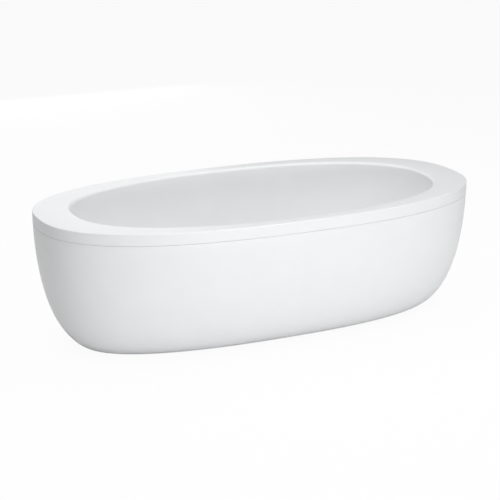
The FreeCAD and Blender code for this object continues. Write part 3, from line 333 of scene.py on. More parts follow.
def birch_plywood(colours):
    """Rotary-cut birch veneers glued crosswise: long pale figure on the faces and thin lines on the edges."""
    finish, tree, shader, where = start_material("birch_plywood", IOR=1.45)
    veneer_thickness = 1.4 * MM
    along = add(tree, "ShaderNodeMapping", {"Scale": (1, 14, 1), "Vector": where}, "Vector")
    figure = add(tree, NOISE, {
        "Vector": along, "Scale": per_metre(140), "Detail": 8, "Roughness": 0.6, "Distortion": 0.6}, "Fac")
    height = add(tree, "ShaderNodeSeparateXYZ", {"Vector": where}, "Z")
    veneer = add(tree, MATH, {0: height, 1: veneer_thickness}, 0, operation="PINGPONG")
    line = add(tree, "ShaderNodeMapRange", {
        "Value": veneer, "From Min": 0, "From Max": veneer_thickness, "To Min": 0.2, "To Max": 0.8}, "Result")
    facing = add(tree, "ShaderNodeTexCoord", out="Normal")
    upright = add(tree, "ShaderNodeSeparateXYZ", {"Vector": facing}, "Z")
    tilt = add(tree, MATH, {0: upright}, 0, operation="ABSOLUTE")
    flat = add(tree, MATH, {0: tilt, 1: 0.7}, 0, operation="GREATER_THAN")
    pattern = add(tree, "ShaderNodeMix", {0: flat, 2: line, 3: figure}, 0)
    pores = add(tree, NOISE, {"Vector": along, "Scale": per_metre(9), "Detail": 2}, "Fac")
    make_surface(tree, shader, (pattern, colours.birch_face, colours.birch_grain), (pores, 0.55, 0.75),
                 (pores, 0.15))
    return finish


def powder_coated_steel(colours):
    """Black polyester powder baked on square tube: a tight orange peel with a satin glint."""
    return patchy_material("powder_coated_steel", (colours.powder_coat, "#303236"), (0.38, 0.5),
                           (30, 4), (1.6, 2), 0.05, IOR=1.5)


def zinc_plated_steel(colours):
    """Bright zinc on pressed and rolled steel: a bluish metal with duller bloom in patches."""
    return patchy_material("zinc_plated_steel", (colours.zinc, colours.zinc_bloom), (0.25, 0.45),
                           (7, 5), (0.6, 2), 0.02, Metallic=1)


def moulded_rubber(colours):
    """EPDM rubber pressed in a mould: nearly black, matt, with a faint pale bloom."""
    return patchy_material("moulded_rubber", (colours.rubber, "#34363A"), (0.65, 0.8),
                           (6, 4), (0.7, 2), 0.04, IOR=1.52)


def moulded_polyamide(colours):
    """Glass-filled polyamide, moulded with a fine spark-eroded grain."""
    return patchy_material("moulded_polyamide", (colours.foot_plastic, "#3C3F42"), (0.45, 0.62),
                           (12, 5), (0.9, 3), 0.08, IOR=1.53)


def polished_chrome(colours):
    """Chromium over polished brass: a mirror with a few hair marks and a trace of water film."""
    return patchy_material("polished_chrome", (colours.chrome, "#CDD0D3"), (0.05, 0.13),
                           (9, 4), (0.5, 3), 0.002, Metallic=1)


def moulded_polypropylene(colours):
    """White polypropylene waste fittings: waxy, slightly translucent, with a soft moulded grain."""
    return patchy_material("moulded_polypropylene", (colours.fitting_plastic, "#D6D8D3"), (0.36, 0.5),
                           (35, 2), (1.2, 3), 0.03, IOR=1.49, Subsurface_Weight=0.1, Subsurface_Scale=2 * MM)


def ribbed_pvc(colours):
    """Soft grey PVC, extruded and blown into ribs: an even satin with faint flow streaks."""
    return patchy_material("ribbed_pvc", (colours.hose_plastic, "#B2B6B8"), (0.38, 0.52),
                           (5, 4), (5, 4), 0.05, IOR=1.53)


def turned_brass(colours):
    """Free-cutting brass straight from the lathe: warm metal with fine tool rings and darker tarnish."""
    finish, tree, shader, where = start_material("turned_brass", Metallic=1)
    tarnish = add(tree, NOISE, {"Vector": where, "Scale": per_metre(8), "Detail": 5}, "Fac")
    rings = add(tree, "ShaderNodeTexWave", {
        "Vector": where, "Scale": per_metre(3), "Distortion": 1.5}, "Fac", bands_direction="Z")
    make_surface(tree, shader, (tarnish, colours.brass, "#9C7C42"), (tarnish, 0.22, 0.4), (rings, 0.02))
    return finish


def cable_sheath(colours):
    """Extruded black sheath over a wound wire: satin, with the winding showing through as fine ridges."""
    finish, tree, shader, where = start_material("cable_sheath", IOR=1.5)
    ridges = add(tree, "ShaderNodeTexWave", {
        "Vector": where, "Scale": per_metre(8), "Distortion": 0.4}, "Fac", bands_direction="DIAGONAL")
    scuffs = add(tree, NOISE, {"Vector": where, "Scale": per_metre(6), "Detail": 4}, "Fac")
    make_surface(tree, shader, (scuffs, colours.cable_plastic, "#33363B"), (scuffs, 0.4, 0.55),
                 (ridges, 0.06))
    return finish


FINISHES = {
    "acrylic": cast_acrylic,
    "glass_fibre": glass_fibre,
    "plywood": birch_plywood,
    "painted_steel": powder_coated_steel,
    "zinc_steel": zinc_plated_steel,
    "rubber": moulded_rubber,
    "foot_plastic": moulded_polyamide,
    "chrome": polished_chrome,
    "brass": turned_brass,
    "fitting_plastic": moulded_polypropylene,
    "hose_plastic": ribbed_pvc,
    "cable_plastic": cable_sheath,
}


def finish_of(slot):
    """The material of one of the record's slots, made the first time that it is asked for."""
    make = FINISHES[slot]
    return bpy.data.materials.get(make.__name__) or make(bpy.context.scene.bath_colours)


# ---- pieces ----

def new_piece(name, mesh):
    piece = bpy.data.objects.new(name, mesh)
    bpy.context.scene.collection.objects.link(piece)
    return piece


def mesh_from(name, points, faces=(), edges=()):
    mesh = bpy.data.meshes.new(name)
    mesh.from_pydata([tuple(point) for point in points], edges, faces)
    return mesh


def plain_mesh(piece):
    """What a piece's curve or modifiers make, as a new plain mesh."""
    bpy.context.view_layer.update()
    graph = bpy.context.evaluated_depsgraph_get()
    mesh = bpy.data.meshes.new_from_object(piece.evaluated_get(graph))
    mesh.name = piece.name
    return mesh


def evaluated(piece):
    """Turns what a piece's modifiers make into its own mesh."""
    mesh = plain_mesh(piece)
    piece.modifiers.clear()
    piece.data = mesh
    return piece


def tidy_mesh(mesh, sharp_from=SHARP):
    """Merges doubles, turns the faces of a closed shape outwards and shades it smooth up to an angle."""
    work = bmesh.new()
    work.from_mesh(mesh)
    bmesh.ops.remove_doubles(work, verts=work.verts, dist=MERGE)
    bmesh.ops.dissolve_degenerate(work, edges=work.edges, dist=MERGE / 10)
    bmesh.ops.recalc_face_normals(work, faces=work.faces)
    work.to_mesh(mesh)
    work.free()
    mesh.shade_smooth()
    mesh.set_sharp_from_angle(angle=math.radians(sharp_from))


def settle(piece, body, slot, *nodes):
    """Gives a finished piece its material, hangs it on the body that it rides on and hides the engineering
    nodes that it stands in for.
    """
    piece.data.materials.clear()
    piece.data.materials.append(finish_of(slot))
    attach(piece, body)
    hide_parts(*nodes)
    return piece


def cut_with(piece, points, faces):
    """Cuts a closed mesh out of a piece."""
    cutter = new_piece("cutter", mesh_from("cutter", points, faces))
    modifier = piece.modifiers.new("Cut", "BOOLEAN")
    modifier.operation = "DIFFERENCE"
    modifier.solver = "EXACT"
    modifier.object = cutter
    evaluated(piece)
    bpy.data.objects.remove(cutter)


def start_tree(name, sockets):
    """A geometry tree with named inputs, given as name: (socket type, default)."""
    tree = bpy.data.node_groups.new(name, "GeometryNodeTree")
    tree.interface.new_socket("Geometry", in_out="OUTPUT", socket_type="NodeSocketGeometry")
    tree.interface.new_socket("Geometry", in_out="INPUT", socket_type="NodeSocketGeometry")
    for label, (kind, default) in sockets.items():
        socket = tree.interface.new_socket(label, in_out="INPUT", socket_type=kind)
        if default is not None:
            socket.default_value = default
    return tree, add(tree, "NodeGroupInput").outputs


def end_tree(tree, geometry, material):
    """Every tree ends in real meshes with their material set."""
    real = add(tree, "GeometryNodeRealizeInstances", {"Geometry": geometry}, 0)
    coated = add(tree, "GeometryNodeSetMaterial", {"Geometry": real, "Material": material}, 0)
    add(tree, "NodeGroupOutput", {"Geometry": coated})
    return tree


def run_tree(piece, tree, **inputs):
    """Puts a geometry tree on a piece with its named inputs and makes the result a plain mesh."""
    modifier = piece.modifiers.new(tree.name, "NODES")
    modifier.node_group = tree
    for socket in tree.interface.items_tree:
        if socket.in_out == "INPUT" and socket.name.replace(" ", "_") in inputs:
            modifier[socket.identifier] = inputs[socket.name.replace(" ", "_")]
    return evaluated(piece)


# ---- the tub's curves: a ring is a Vector of half length, half width and height ----

# rows of faces along each stretch of a profile
BASIN_ROWS = 56
UNDER_ROWS = 40
FACE_ROWS = 48
BACK_ROWS = 36
LIP_ROWS = 10
ROLL_ROWS = 10
EDGE_ROWS = 6
SEARCH_ROWS = 600  # among which a place on the wall is looked for

# the rod that cuts the overflow's hole: its reach each way from the wall, in thicknesses of sheet
DRILL_INTO_BASIN = 4
DRILL_BEHIND_SHELL = 4
DRILL_BEHIND_BACKING = 6
HOLE_SIDES = 64


def blend(first, second, factor):
    return first * (1 - factor) + second * factor


def shifted(ring, across, up=0):
    return ring + Vector((across, across, up))


def quarter(start, corner, end, steps):
    """Rings of a quarter round from start to end, tangent to the corner's two sides."""
    rings = []
    for step in range(steps + 1):
        angle = math.pi / 2 * step / steps
        from_start, from_end = 1 - math.sin(angle), 1 - math.cos(angle)
        rings.append(corner + (start - corner) * from_start + (end - corner) * from_end)
    return rings


def bezier(rings, factor):
    while len(rings) > 1:
        rings = [blend(first, second, factor) for first, second in zip(rings, rings[1:])]
    return rings[0]


def factor_at(rings, height):
    """Where along a falling profile a height is reached."""
    start, end = 0.0, 1.0
    for _ in range(40):
        half = (start + end) / 2
        if bezier(rings, half).z > height:
            start = half
        else:
            end = half
    return (start + end) / 2


def bezier_run(rings, start, end, steps):
    return [bezier(rings, start + (end - start) * step / steps) for step in range(steps + 1)]


def spline_run(rings, steps):
    """Points of the clamped cubic spline through a wall's control rings."""
    inner = len(rings) - 3
    knots = [0.0] * 3 + [float(step) for step in range(inner + 1)] + [float(inner)] * 3
    found = []
    for step in range(steps + 1):
        where = inner * step / steps
        span = min(int(where), inner - 1) + 3
        local = [rings[span - 3 + index] for index in range(4)]
        for depth in range(1, 4):
            for index in range(3, depth - 1, -1):
                left = knots[span - 3 + index]
                right = knots[span + 1 + index - depth]
                local[index] = blend(local[index - 1], local[index], (where - left) / (right - left))
        found.append(local[3])
    return found


def offset(rings, distance):
    """Rings moved square off their profile: positive is outwards and down, negative inwards and up."""
    moved = []
    for index, ring in enumerate(rings):
        step = Vector((0, 0, 0))
        for axis in (0, 1):
            normals = []
            for first, second in ((index - 1, index), (index, index + 1)):
                if first < 0 or second >= len(rings):
                    continue
                run, fall = rings[second][axis] - rings[first][axis], rings[second].z - rings[first].z
                span = math.hypot(run, fall)
                normals.append((-fall / span, run / span))
            if len(normals) == 2:
                (a, b), (c, d) = normals
                bisector = 1 + a * c + b * d
                normals = [((a + c) / bisector, (b + d) / bisector)]
            out, down = normals[0]
            step[axis] = out
            step.z += down / 2
        moved.append(ring + step * distance)
    return moved


def outer_profile(bath):
    """Control rings of the outside, from the rim's edge to the floor."""
    inset = Vector((bath.inset_end, bath.inset_side, 0))
    height = RIM_TOP.z
    half = Vector((RIM_TOP.x, RIM_TOP.y, height))
    return [
        half,
        half - UP * height * bath.wall_drop,
        half - inset * bath.tuck_share - UP * height * (1 - bath.tuck_height),
        half - inset - UP * height,
    ]


def basin_profile(bath):
    """Control rings of the basin's inside, from under the rolled edge to the flat floor."""
    opening = Vector((RIM_TOP.x - bath.rim_end, RIM_TOP.y - bath.rim_side, 0))
    flat = Vector((bath.floor_length / 2, bath.floor_width / 2, 0))
    floor, top = FLOOR_UNDER + bath.sheet, RIM_TOP.z - bath.roll_radius
    # share of the way in to the flat floor, and share of the height that is left
    course = [(0, 1), (0, 0.86), (0.16, 0.5), (0.38, 0.13), (0.62, 0), (1, 0)]
    return [blend(opening, flat, inward) + UP * (floor + (top - floor) * left) for inward, left in course]


def wall_point(rings, height):
    """A point of the front long side's profile at a height, and the wall's normal into the basin."""
    run = spline_run(rings, SEARCH_ROWS)
    near = min(range(1, len(run) - 1), key=lambda index: abs(run[index].z - height))
    before, after = run[near - 1], run[near + 1]
    along = Vector((0, before.y - after.y, after.z - before.z)).normalized()
    return Vector((0, -run[near].y, run[near].z)), Vector((0, -along.z, along.y))


def overflow_place(bath):
    """Matrix of the overflow's axis: Z points from the wall into the basin."""
    point, normal = wall_point(basin_profile(bath), RIM_TOP.z - bath.overflow_drop)
    return Matrix.Translation(point) @ UP.rotation_difference(normal).to_matrix().to_4x4()


def superellipse_tree():
    """Carries a profile of rings round the tub. Each vertex of the profile is a ring of half length,
    half width and height, and its power says how square that ring is."""
    tree, given = start_tree("Superellipse Wall", {
        "Stations": ("NodeSocketInt", 288),
        "Material": ("NodeSocketMaterial", None),
    })
    profile = given["Geometry"]
    rows = add(tree, "GeometryNodeAttributeDomainSize", {"Geometry": profile}, "Point Count")
    columns = add(tree, "FunctionNodeIntegerMath", {0: given["Stations"], 1: 1}, 0, operation="ADD")
    grid = add(tree, "GeometryNodeMeshGrid", {"Vertices X": columns, "Vertices Y": rows}, "Mesh")
    index = add(tree, "GeometryNodeInputIndex", out=0)
    station, row = [add(tree, "FunctionNodeIntegerMath", {0: index, 1: rows}, 0, operation=operation)
                    for operation in ("DIVIDE_FLOOR", "MODULO")]
    place = add(tree, "GeometryNodeInputPosition", out=0)
    power_here = add(tree, "GeometryNodeInputNamedAttribute", {"Name": "power"}, 0)
    ring, squareness = [add(tree, "GeometryNodeSampleIndex", {
        "Geometry": profile, "Value": value, "Index": row}, 0, data_type=data_type)
        for value, data_type in ((place, "FLOAT_VECTOR"), (power_here, "FLOAT"))]

    turn = add(tree, MATH, {0: station, 1: given["Stations"]}, 0, operation="DIVIDE")
    angle = add(tree, MATH, {0: turn, 1: math.tau}, 0, operation="MULTIPLY")
    sides = [add(tree, MATH, {0: angle}, 0, operation=operation) for operation in ("COSINE", "SINE")]
    widths = [add(tree, MATH, {0: side}, 0, operation="ABSOLUTE") for side in sides]
    first, second = [add(tree, MATH, {0: width, 1: squareness}, 0, operation="POWER") for width in widths]
    total = add(tree, MATH, {0: first, 1: second}, 0, operation="ADD")
    inverse = add(tree, MATH, {0: -1.0, 1: squareness}, 0, operation="DIVIDE")
    reach = add(tree, MATH, {0: total, 1: inverse}, 0, operation="POWER")
    across, along = [add(tree, MATH, {0: side, 1: reach}, 0, operation="MULTIPLY") for side in sides]
    plan = add(tree, "ShaderNodeCombineXYZ", {"X": across, "Y": along, "Z": 1}, 0)
    point = add(tree, "ShaderNodeVectorMath", {0: ring, 1: plan}, 0, operation="MULTIPLY")
    shaped = add(tree, "GeometryNodeSetPosition", {"Geometry": grid, "Position": point}, 0)
    merged = add(tree, "GeometryNodeMergeByDistance", {"Distance": MERGE, "Geometry": shaped}, 0)
    return end_tree(tree, merged, given["Material"])


def carried_round(name, stretches, slot, stations):
    """A closed shell from stretches of rings, each with its power, carried round the tub."""
    rings, powers = [], []
    for stretch, value in stretches:
        rings += stretch
        powers += [value] * len(stretch)
    rings.append(rings[0])
    powers.append(powers[0])
    mesh = mesh_from(name, rings, edges=[(index, index + 1) for index in range(len(rings) - 1)])
    mesh.attributes.new("power", "FLOAT", "POINT").data.foreach_set("value", powers)
    piece = new_piece(name, mesh)
    tree = bpy.data.node_groups.get("Superellipse Wall") or superellipse_tree()
    run_tree(piece, tree, Stations=stations, Material=finish_of(slot))
    tidy_mesh(piece.data)
    return piece


def circle(radius, height, sides, reach=None):
    """Points round a circle. reach, where given, limits the radius at an angle."""
    points = []
    for step in range(sides):
        angle = math.tau * step / sides
        here = radius if reach is None else min(radius, reach(angle))
        points.append(Vector((here * math.cos(angle), here * math.sin(angle), height)))
    return points


def bands(rows, sides, closed=False):
    """Faces between each row of points and the next, and from the last to the first where closed."""
    faces = []
    for row in range(rows if closed else rows - 1):
        here, beside = row * sides, (row + 1) % rows * sides
        for step in range(sides):
            following = (step + 1) % sides
            faces.append((here + step, here + following, beside + following, beside + step))
    return faces


def wall_drill(bath, behind):
    """Points and faces of a rod that goes through the wall at the overflow, so many sheets behind it."""
    sides, place = HOLE_SIDES, overflow_place(bath)
    through = DRILL_INTO_BASIN * bath.sheet
    points = [place @ point for height in (-behind * bath.sheet, through)
              for point in circle(bath.overflow_radius, height, sides)]
    return points, bands(2, sides) + [tuple(range(sides - 1, -1, -1)), tuple(range(sides, 2 * sides))]


def hole_round(radius, height):
    """A ring that is a circle, for the edge of a round hole on the tub's own axis."""
    return Vector((radius, radius, height))


def rounded_corner(before, corner, after, radius, steps=3):
    """Rings or profile points of a small round at a corner."""
    start = corner + (before - corner).normalized() * radius
    end = corner + (after - corner).normalized() * radius
    return quarter(start, corner, end, steps)


def tub_shell_stretches(bath):
    """The acrylic sheet's profile from the waste hole up the basin, over the rim, down the lip and back."""
    outer, basin = outer_profile(bath), basin_profile(bath)
    sheet, roll, edge, top = bath.sheet, bath.roll_radius, bath.edge_radius, RIM_TOP.z
    floor = basin[-1].z
    lip = bezier_run(outer, factor_at(outer, top - edge), factor_at(outer, top - bath.lip_depth), LIP_ROWS)
    rim_edge = shifted(outer[0], -edge)
    roll_top = shifted(basin[0], roll, roll)
    lip_inside = shifted(lip[-1], -sheet)
    lip_foot = rounded_corner(lip[-2], lip[-1], lip_inside, bath.trimmed_edge)
    under_rim = Vector((lip_inside.x, lip_inside.y, top - sheet))
    roll_under = shifted(roll_top, 0, -sheet)
    outside = offset(basin, sheet)
    hole = hole_round(bath.waste_radius, floor)
    round_power, oval, square = 2.0, bath.opening_power, bath.outline_power
    return [
        ([hole_round(bath.waste_radius, floor - sheet), hole], round_power),
        (list(reversed(spline_run(basin, BASIN_ROWS))), oval),
        (quarter(basin[0], shifted(basin[0], 0, roll), roll_top, ROLL_ROWS), oval),
        (quarter(rim_edge, shifted(rim_edge, edge), lip[0], EDGE_ROWS), square),
        (lip[1:-1] + lip_foot, square),
        ([lip_inside, under_rim], square),
        (quarter(roll_under, shifted(outside[0], 0, roll - sheet), outside[0], EDGE_ROWS), oval),
        (spline_run(outside, UNDER_ROWS)[1:], oval),
    ]


def backing_stretches(bath):
    """The glass-fibre backing's profile up its inside and down its outside."""
    basin = basin_profile(bath)
    inside = spline_run(offset(basin, bath.sheet + bath.bond), UNDER_ROWS)
    outside = spline_run(offset(basin, bath.sheet + bath.bond + bath.backing), UNDER_ROWS)
    edge = RIM_TOP.z - bath.backing_drop
    inside, outside = [[ring for ring in run if ring.z < edge] for run in (inside, outside)]
    for run in (inside, outside):
        run.insert(0, Vector((run[0].x, run[0].y, edge)))
    round_power, oval = 2.0, bath.opening_power
    return [
        ([hole_round(bath.waste_radius, run[-1].z) for run in (outside, inside)], round_power),
        (list(reversed(inside)), oval),
        (outside, oval),
    ]


def apron_stretches(bath):
    """The apron's profile down its face, under its foot, up its inside and over its tongue."""
    outer, sheet, top = outer_profile(bath), bath.sheet, RIM_TOP.z
    seam = top - bath.lip_depth - bath.seam_gap
    foot = factor_at(outer, APRON_FOOT)
    face = bezier_run(outer, factor_at(outer, seam), foot, FACE_ROWS)
    tongue_out = shifted(face[0], -(sheet + bath.tongue_gap))
    tongue_in = shifted(tongue_out, -sheet)
    crown = top - bath.lip_depth + bath.tongue_height
    back = offset(bezier_run(outer, factor_at(outer, seam - sheet), foot, BACK_ROWS), -sheet)
    crown_out = Vector((tongue_out.x, tongue_out.y, crown))
    crown_in = Vector((tongue_in.x, tongue_in.y, crown))
    rings = [tongue_out]
    rings += rounded_corner(tongue_out, face[0], face[1], bath.trimmed_edge)
    rings += face[1:-1]
    rings += rounded_corner(face[-2], face[-1], back[-1], bath.trimmed_edge)
    rings += list(reversed(back))
    rings += [Vector((tongue_in.x, tongue_in.y, back[0].z)), crown_in, crown_out]
    return [(rings, bath.outline_power)]


class BATH_OT_tub_shell(bpy.types.Operator):
    """Makes the acrylic tub: basin, rolled edge, broad flat rim and turned-down lip"""
    bl_idname = "bath.tub_shell"
    bl_label = "Acrylic Tub"

    def execute(self, context):
        bath = context.scene.bath_shape
        shell = carried_round("acrylic_tub", tub_shell_stretches(bath), "acrylic", bath.stations)
        cut_with(shell, *wall_drill(bath, DRILL_BEHIND_SHELL))
        shell.data.set_sharp_from_angle(angle=math.radians(SHARP))
        settle(shell, "tub", "acrylic", "tub_shell")
        return {"FINISHED"}


class BATH_OT_backing(bpy.types.Operator):
    """Makes the glass-fibre backing laid up under the basin"""
    bl_idname = "bath.backing"
    bl_label = "Glass-Fibre Backing"

    def execute(self, context):
        bath = context.scene.bath_shape
        skin = carried_round("laid_up_backing", backing_stretches(bath), "glass_fibre", bath.stations // 2)
        cut_with(skin, *wall_drill(bath, DRILL_BEHIND_BACKING))
        skin.data.set_sharp_from_angle(angle=math.radians(SHARP))
        settle(skin, "tub", "glass_fibre", "shell_backing")
        return {"FINISHED"}


class BATH_OT_apron(bpy.types.Operator):
    """Makes the one-piece apron that tucks under, with its tongue behind the lip"""
    bl_idname = "bath.apron"
    bl_label = "Apron"

    def execute(self, context):
        bath = context.scene.bath_shape
        panel = carried_round("formed_apron", apron_stretches(bath), "acrylic", bath.stations)
        settle(panel, "tub", "acrylic", "apron_panel")
        return {"FINISHED"}


# ---- fittings ----

def lathe_mesh(name, profile, sides=96, reach=None):
    """A closed turned shape from (radius, height) pairs that start and end on the axis."""
    rows = profile[1:-1]
    points = [point for radius, height in rows for point in circle(radius, height, sides, reach)]
    faces = bands(len(rows), sides)
    for (_, height), start in ((profile[0], 0), (profile[-1], (len(rows) - 1) * sides)):
        points.append(Vector((0, 0, height)))
        faces += [(start + step, start + (step + 1) % sides, len(points) - 1) for step in range(sides)]
    return mesh_from(name, points, faces)


def turned_corner(before, corner, after, radius):
    """(radius, height) pairs of a turned profile's rounded corner."""
    flat = [Vector((*pair, 0)) for pair in (before, corner, after)]
    return [(point.x, point.y) for point in rounded_corner(*flat, radius, 5)]


# the plug's crown, as a share of the cap's radius
CROWN_SHARE = 0.94
CROWN_ROWS = 16
PLUG_SIDES = 128

# the dish in the knob's face, and the course of its profile in shares of its radius and depth
DISH_SHARE = 0.86
DISH_DEPTH = 0.8 * MM
DISH_COURSE = ((1, 0), (0.97, 0.375), (0.5, 0.875), (0, 1))
NOTCH_SIDES = 48

# a screw's cross recess: its reach as a share of the head, its depth of the height, its width of the reach
RECESS_REACH = 0.62
RECESS_DEPTH = 0.55
RECESS_WIDTH = 0.24
SCREW_ROWS = 6
SCREW_SIDES = 32

HEXAGON_SIDES = 48
COLLAR_CHAMFER = 0.6 * MM
NUT_CHAMFER = 1 * MM
NUT_CLEARANCE = 0.05 * MM

LINE_STEPS = 24  # of a smooth curve between two of its control points


def domed(radius, bottom, top, steps):
    """(radius, height) pairs of a dome that stands upright for a third of its height, short of its crown."""
    upright = 0.35
    angles = [math.pi / 2 * step / steps for step in range(steps)]
    return [(radius * math.cos(angle), bottom + (top - bottom) * (upright + (1 - upright) * math.sin(angle)))
            for angle in angles]


def joined(name, *meshes):
    """One mesh from several, which are removed."""
    work = bmesh.new()
    for mesh in meshes:
        work.from_mesh(mesh)
        bpy.data.meshes.remove(mesh)
    whole = bpy.data.meshes.new(name)
    work.to_mesh(whole)
    work.free()
    return whole


def hexagon_mesh(name, corner_radius, bottom, top, chamfer, bore=None):
    """A hexagon whose corners are turned back at both ends, with a bore or closed."""
    sides, sixth = HEXAGON_SIDES, math.pi / 3
    flat = corner_radius * math.cos(sixth / 2)

    def reach(angle):
        return flat / math.cos((angle + sixth / 2) % sixth - sixth / 2)

    turned_to = corner_radius - chamfer
    rows = [(turned_to, bottom), (corner_radius, bottom + chamfer / 2),
            (corner_radius, top - chamfer / 2), (turned_to, top)]
    if bore is None:
        return lathe_mesh(name, [(0, bottom), *rows, (0, top)], sides, reach)
    rows = [(bore, bottom), *rows, (bore, top)]
    points = [point for radius, height in rows for point in circle(radius, height, sides, reach)]
    return mesh_from(name, points, bands(len(rows), sides, closed=True))


def thread_tree():
    """A closed threaded bar on the Z axis: rows of points whose radius rises and falls along a helix."""
    tree, given = start_tree("Screw Thread", {
        "Radius": ("NodeSocketFloat", 0.006),
        "Depth": ("NodeSocketFloat", 0.001),
        "Pitch": ("NodeSocketFloat", 0.00175),
        "Length": ("NodeSocketFloat", 0.1),
        "Sides": ("NodeSocketInt", 16),
        "Rows per Turn": ("NodeSocketInt", 4),
        "Place": ("NodeSocketVector", None),
        "Material": ("NodeSocketMaterial", None),
    })

    sums = dict(given.items())
    sums["index"] = add(tree, "GeometryNodeInputIndex", out=0)
    for name, operation, *terms in (
            ("turns", "DIVIDE", "Length", "Pitch"),
            ("rows of thread", "MULTIPLY", "turns", "Rows per Turn"),
            ("steps", "CEIL", "rows of thread"),
            ("rows", "ADD", "steps", 3),
            ("last row", "SUBTRACT", "rows", 1.5),
            ("columns", "ADD", "Sides", 1),
            ("inside index", "ADD", "index", 0.5),
            ("column", "DIVIDE", "inside index", "rows"),
            ("station", "FLOOR", "column"),
            ("first index", "MULTIPLY", "station", "rows"),
            ("row", "SUBTRACT", "index", "first index"),
            ("row above end", "SUBTRACT", "row", 1),
            ("not below", "MAXIMUM", "row above end", 0),
            ("level", "MINIMUM", "not below", "steps"),
            ("share", "DIVIDE", "level", "steps"),
            ("height", "MULTIPLY", "share", "Length"),
            ("turn", "DIVIDE", "station", "Sides"),
            ("climb", "DIVIDE", "height", "Pitch"),
            ("phase", "SUBTRACT", "climb", "turn"),
            ("double phase", "MULTIPLY", "phase", 2),
            ("wave", "PINGPONG", "double phase", 1),
            ("dip", "MULTIPLY", "wave", "Depth"),
            ("crest", "SUBTRACT", "Radius", "dip"),
            ("past first", "GREATER_THAN", "row", 0.5),
            ("before last", "LESS_THAN", "row", "last row"),
            ("inside", "MULTIPLY", "past first", "before last"),
            ("radius", "MULTIPLY", "crest", "inside"),
            ("angle", "MULTIPLY", "turn", math.tau),
            ("cosine", "COSINE", "angle"),
            ("sine", "SINE", "angle"),
            ("x", "MULTIPLY", "radius", "cosine"),
            ("y", "MULTIPLY", "radius", "sine"),
    ):
        inputs = {place: sums[term] if isinstance(term, str) else term for place, term in enumerate(terms)}
        sums[name] = add(tree, MATH, inputs, 0, operation=operation)
    grid = add(tree, "GeometryNodeMeshGrid", {
        "Vertices X": sums["columns"], "Vertices Y": sums["rows"]}, "Mesh")
    point = add(tree, "ShaderNodeCombineXYZ", {"X": sums["x"], "Y": sums["y"], "Z": sums["height"]}, 0)
    placed = add(tree, "ShaderNodeVectorMath", {0: point, 1: given["Place"]}, 0, operation="ADD")
    shaped = add(tree, "GeometryNodeSetPosition", {"Geometry": grid, "Position": placed}, 0)
    merged = add(tree, "GeometryNodeMergeByDistance", {"Distance": MERGE, "Geometry": shaped}, 0)
    return end_tree(tree, merged, given["Material"])


def threaded_bar(name, radius, pitch, start, length_along, slot):
    """A threaded bar standing on a point, as a plain mesh."""
    piece = new_piece(name, bpy.data.meshes.new(name))
    tree = bpy.data.node_groups.get("Screw Thread") or thread_tree()
    depth = 0.55 * pitch  # of a metric thread's flanks
    run_tree(piece, tree, Radius=radius, Depth=depth, Pitch=pitch, Length=length_along, Place=tuple(start),
             Material=finish_of(slot))
    mesh = piece.data
    bpy.data.objects.remove(piece)
    return mesh


def pattern_tree():
    """Stands a copy of one object on every vertex, all turned the same way."""
    tree, given = start_tree("Like Pieces", {
        "Copy": ("NodeSocketObject", None),
        "Turn": ("NodeSocketVector", None),
        "Material": ("NodeSocketMaterial", None),
    })
    copy = add(tree, "GeometryNodeObjectInfo", {"Object": given["Copy"]}, "Geometry")
    turn = add(tree, "FunctionNodeEulerToRotation", {"Euler": given["Turn"]}, 0)
    copies = add(tree, "GeometryNodeInstanceOnPoints", {
        "Points": given["Geometry"], "Instance": copy, "Rotation": turn}, 0)
    return end_tree(tree, copies, given["Material"])


def like_pieces(name, copy_mesh, places, slot, turn=(0, 0, 0)):
    """Copies of a small mesh at several places, as one piece."""
    tidy_mesh(copy_mesh)
    copy = new_piece(name + "_copy", copy_mesh)
    piece = new_piece(name, mesh_from(name, places))
    tree = bpy.data.node_groups.get("Like Pieces") or pattern_tree()
    run_tree(piece, tree, Copy=copy, Turn=turn, Material=finish_of(slot))
    bpy.data.objects.remove(copy)
    return piece


def hose_tree():
    """A tube along a line, with rings that swell and narrow at a spacing."""
    tree, given = start_tree("Ribbed Hose", {
        "Radius": ("NodeSocketFloat", 0.015),
        "Rib Depth": ("NodeSocketFloat", 0.001),
        "Rib Spacing": ("NodeSocketFloat", 0.005),
        "Sides": ("NodeSocketInt", 28),
        "Material": ("NodeSocketMaterial", None),
    })

    steps_per_rib = 6
    step = add(tree, MATH, {0: given["Rib Spacing"], 1: steps_per_rib}, 0, operation="DIVIDE")
    line = add(tree, "GeometryNodeMeshToCurve", {"Mesh": given["Geometry"]}, 0)
    fine = add(tree, "GeometryNodeResampleCurve", {"Curve": line, "Length": step}, 0, mode="LENGTH")
    along = add(tree, "GeometryNodeSplineParameter", out="Length")
    ribs = add(tree, MATH, {0: along, 1: given["Rib Spacing"]}, 0, operation="DIVIDE")
    angle = add(tree, MATH, {0: ribs, 1: math.tau}, 0, operation="MULTIPLY")
    wave = add(tree, MATH, {0: angle}, 0, operation="COSINE")
    swing = add(tree, MATH, {0: 1.0, 1: wave}, 0, operation="SUBTRACT")
    half_depth = add(tree, MATH, {0: given["Rib Depth"], 1: 0.5}, 0, operation="MULTIPLY")
    dip = add(tree, MATH, {0: swing, 1: half_depth}, 0, operation="MULTIPLY")
    swell = add(tree, MATH, {0: given["Radius"], 1: dip}, 0, operation="SUBTRACT")
    ring = add(tree, "GeometryNodeCurvePrimitiveCircle", {"Radius": 1, "Resolution": given["Sides"]}, 0)
    tube = add(tree, "GeometryNodeCurveToMesh", {
        "Curve": fine, "Profile Curve": ring, "Scale": swell, "Fill Caps": True}, 0)
    return end_tree(tree, tube, given["Material"])


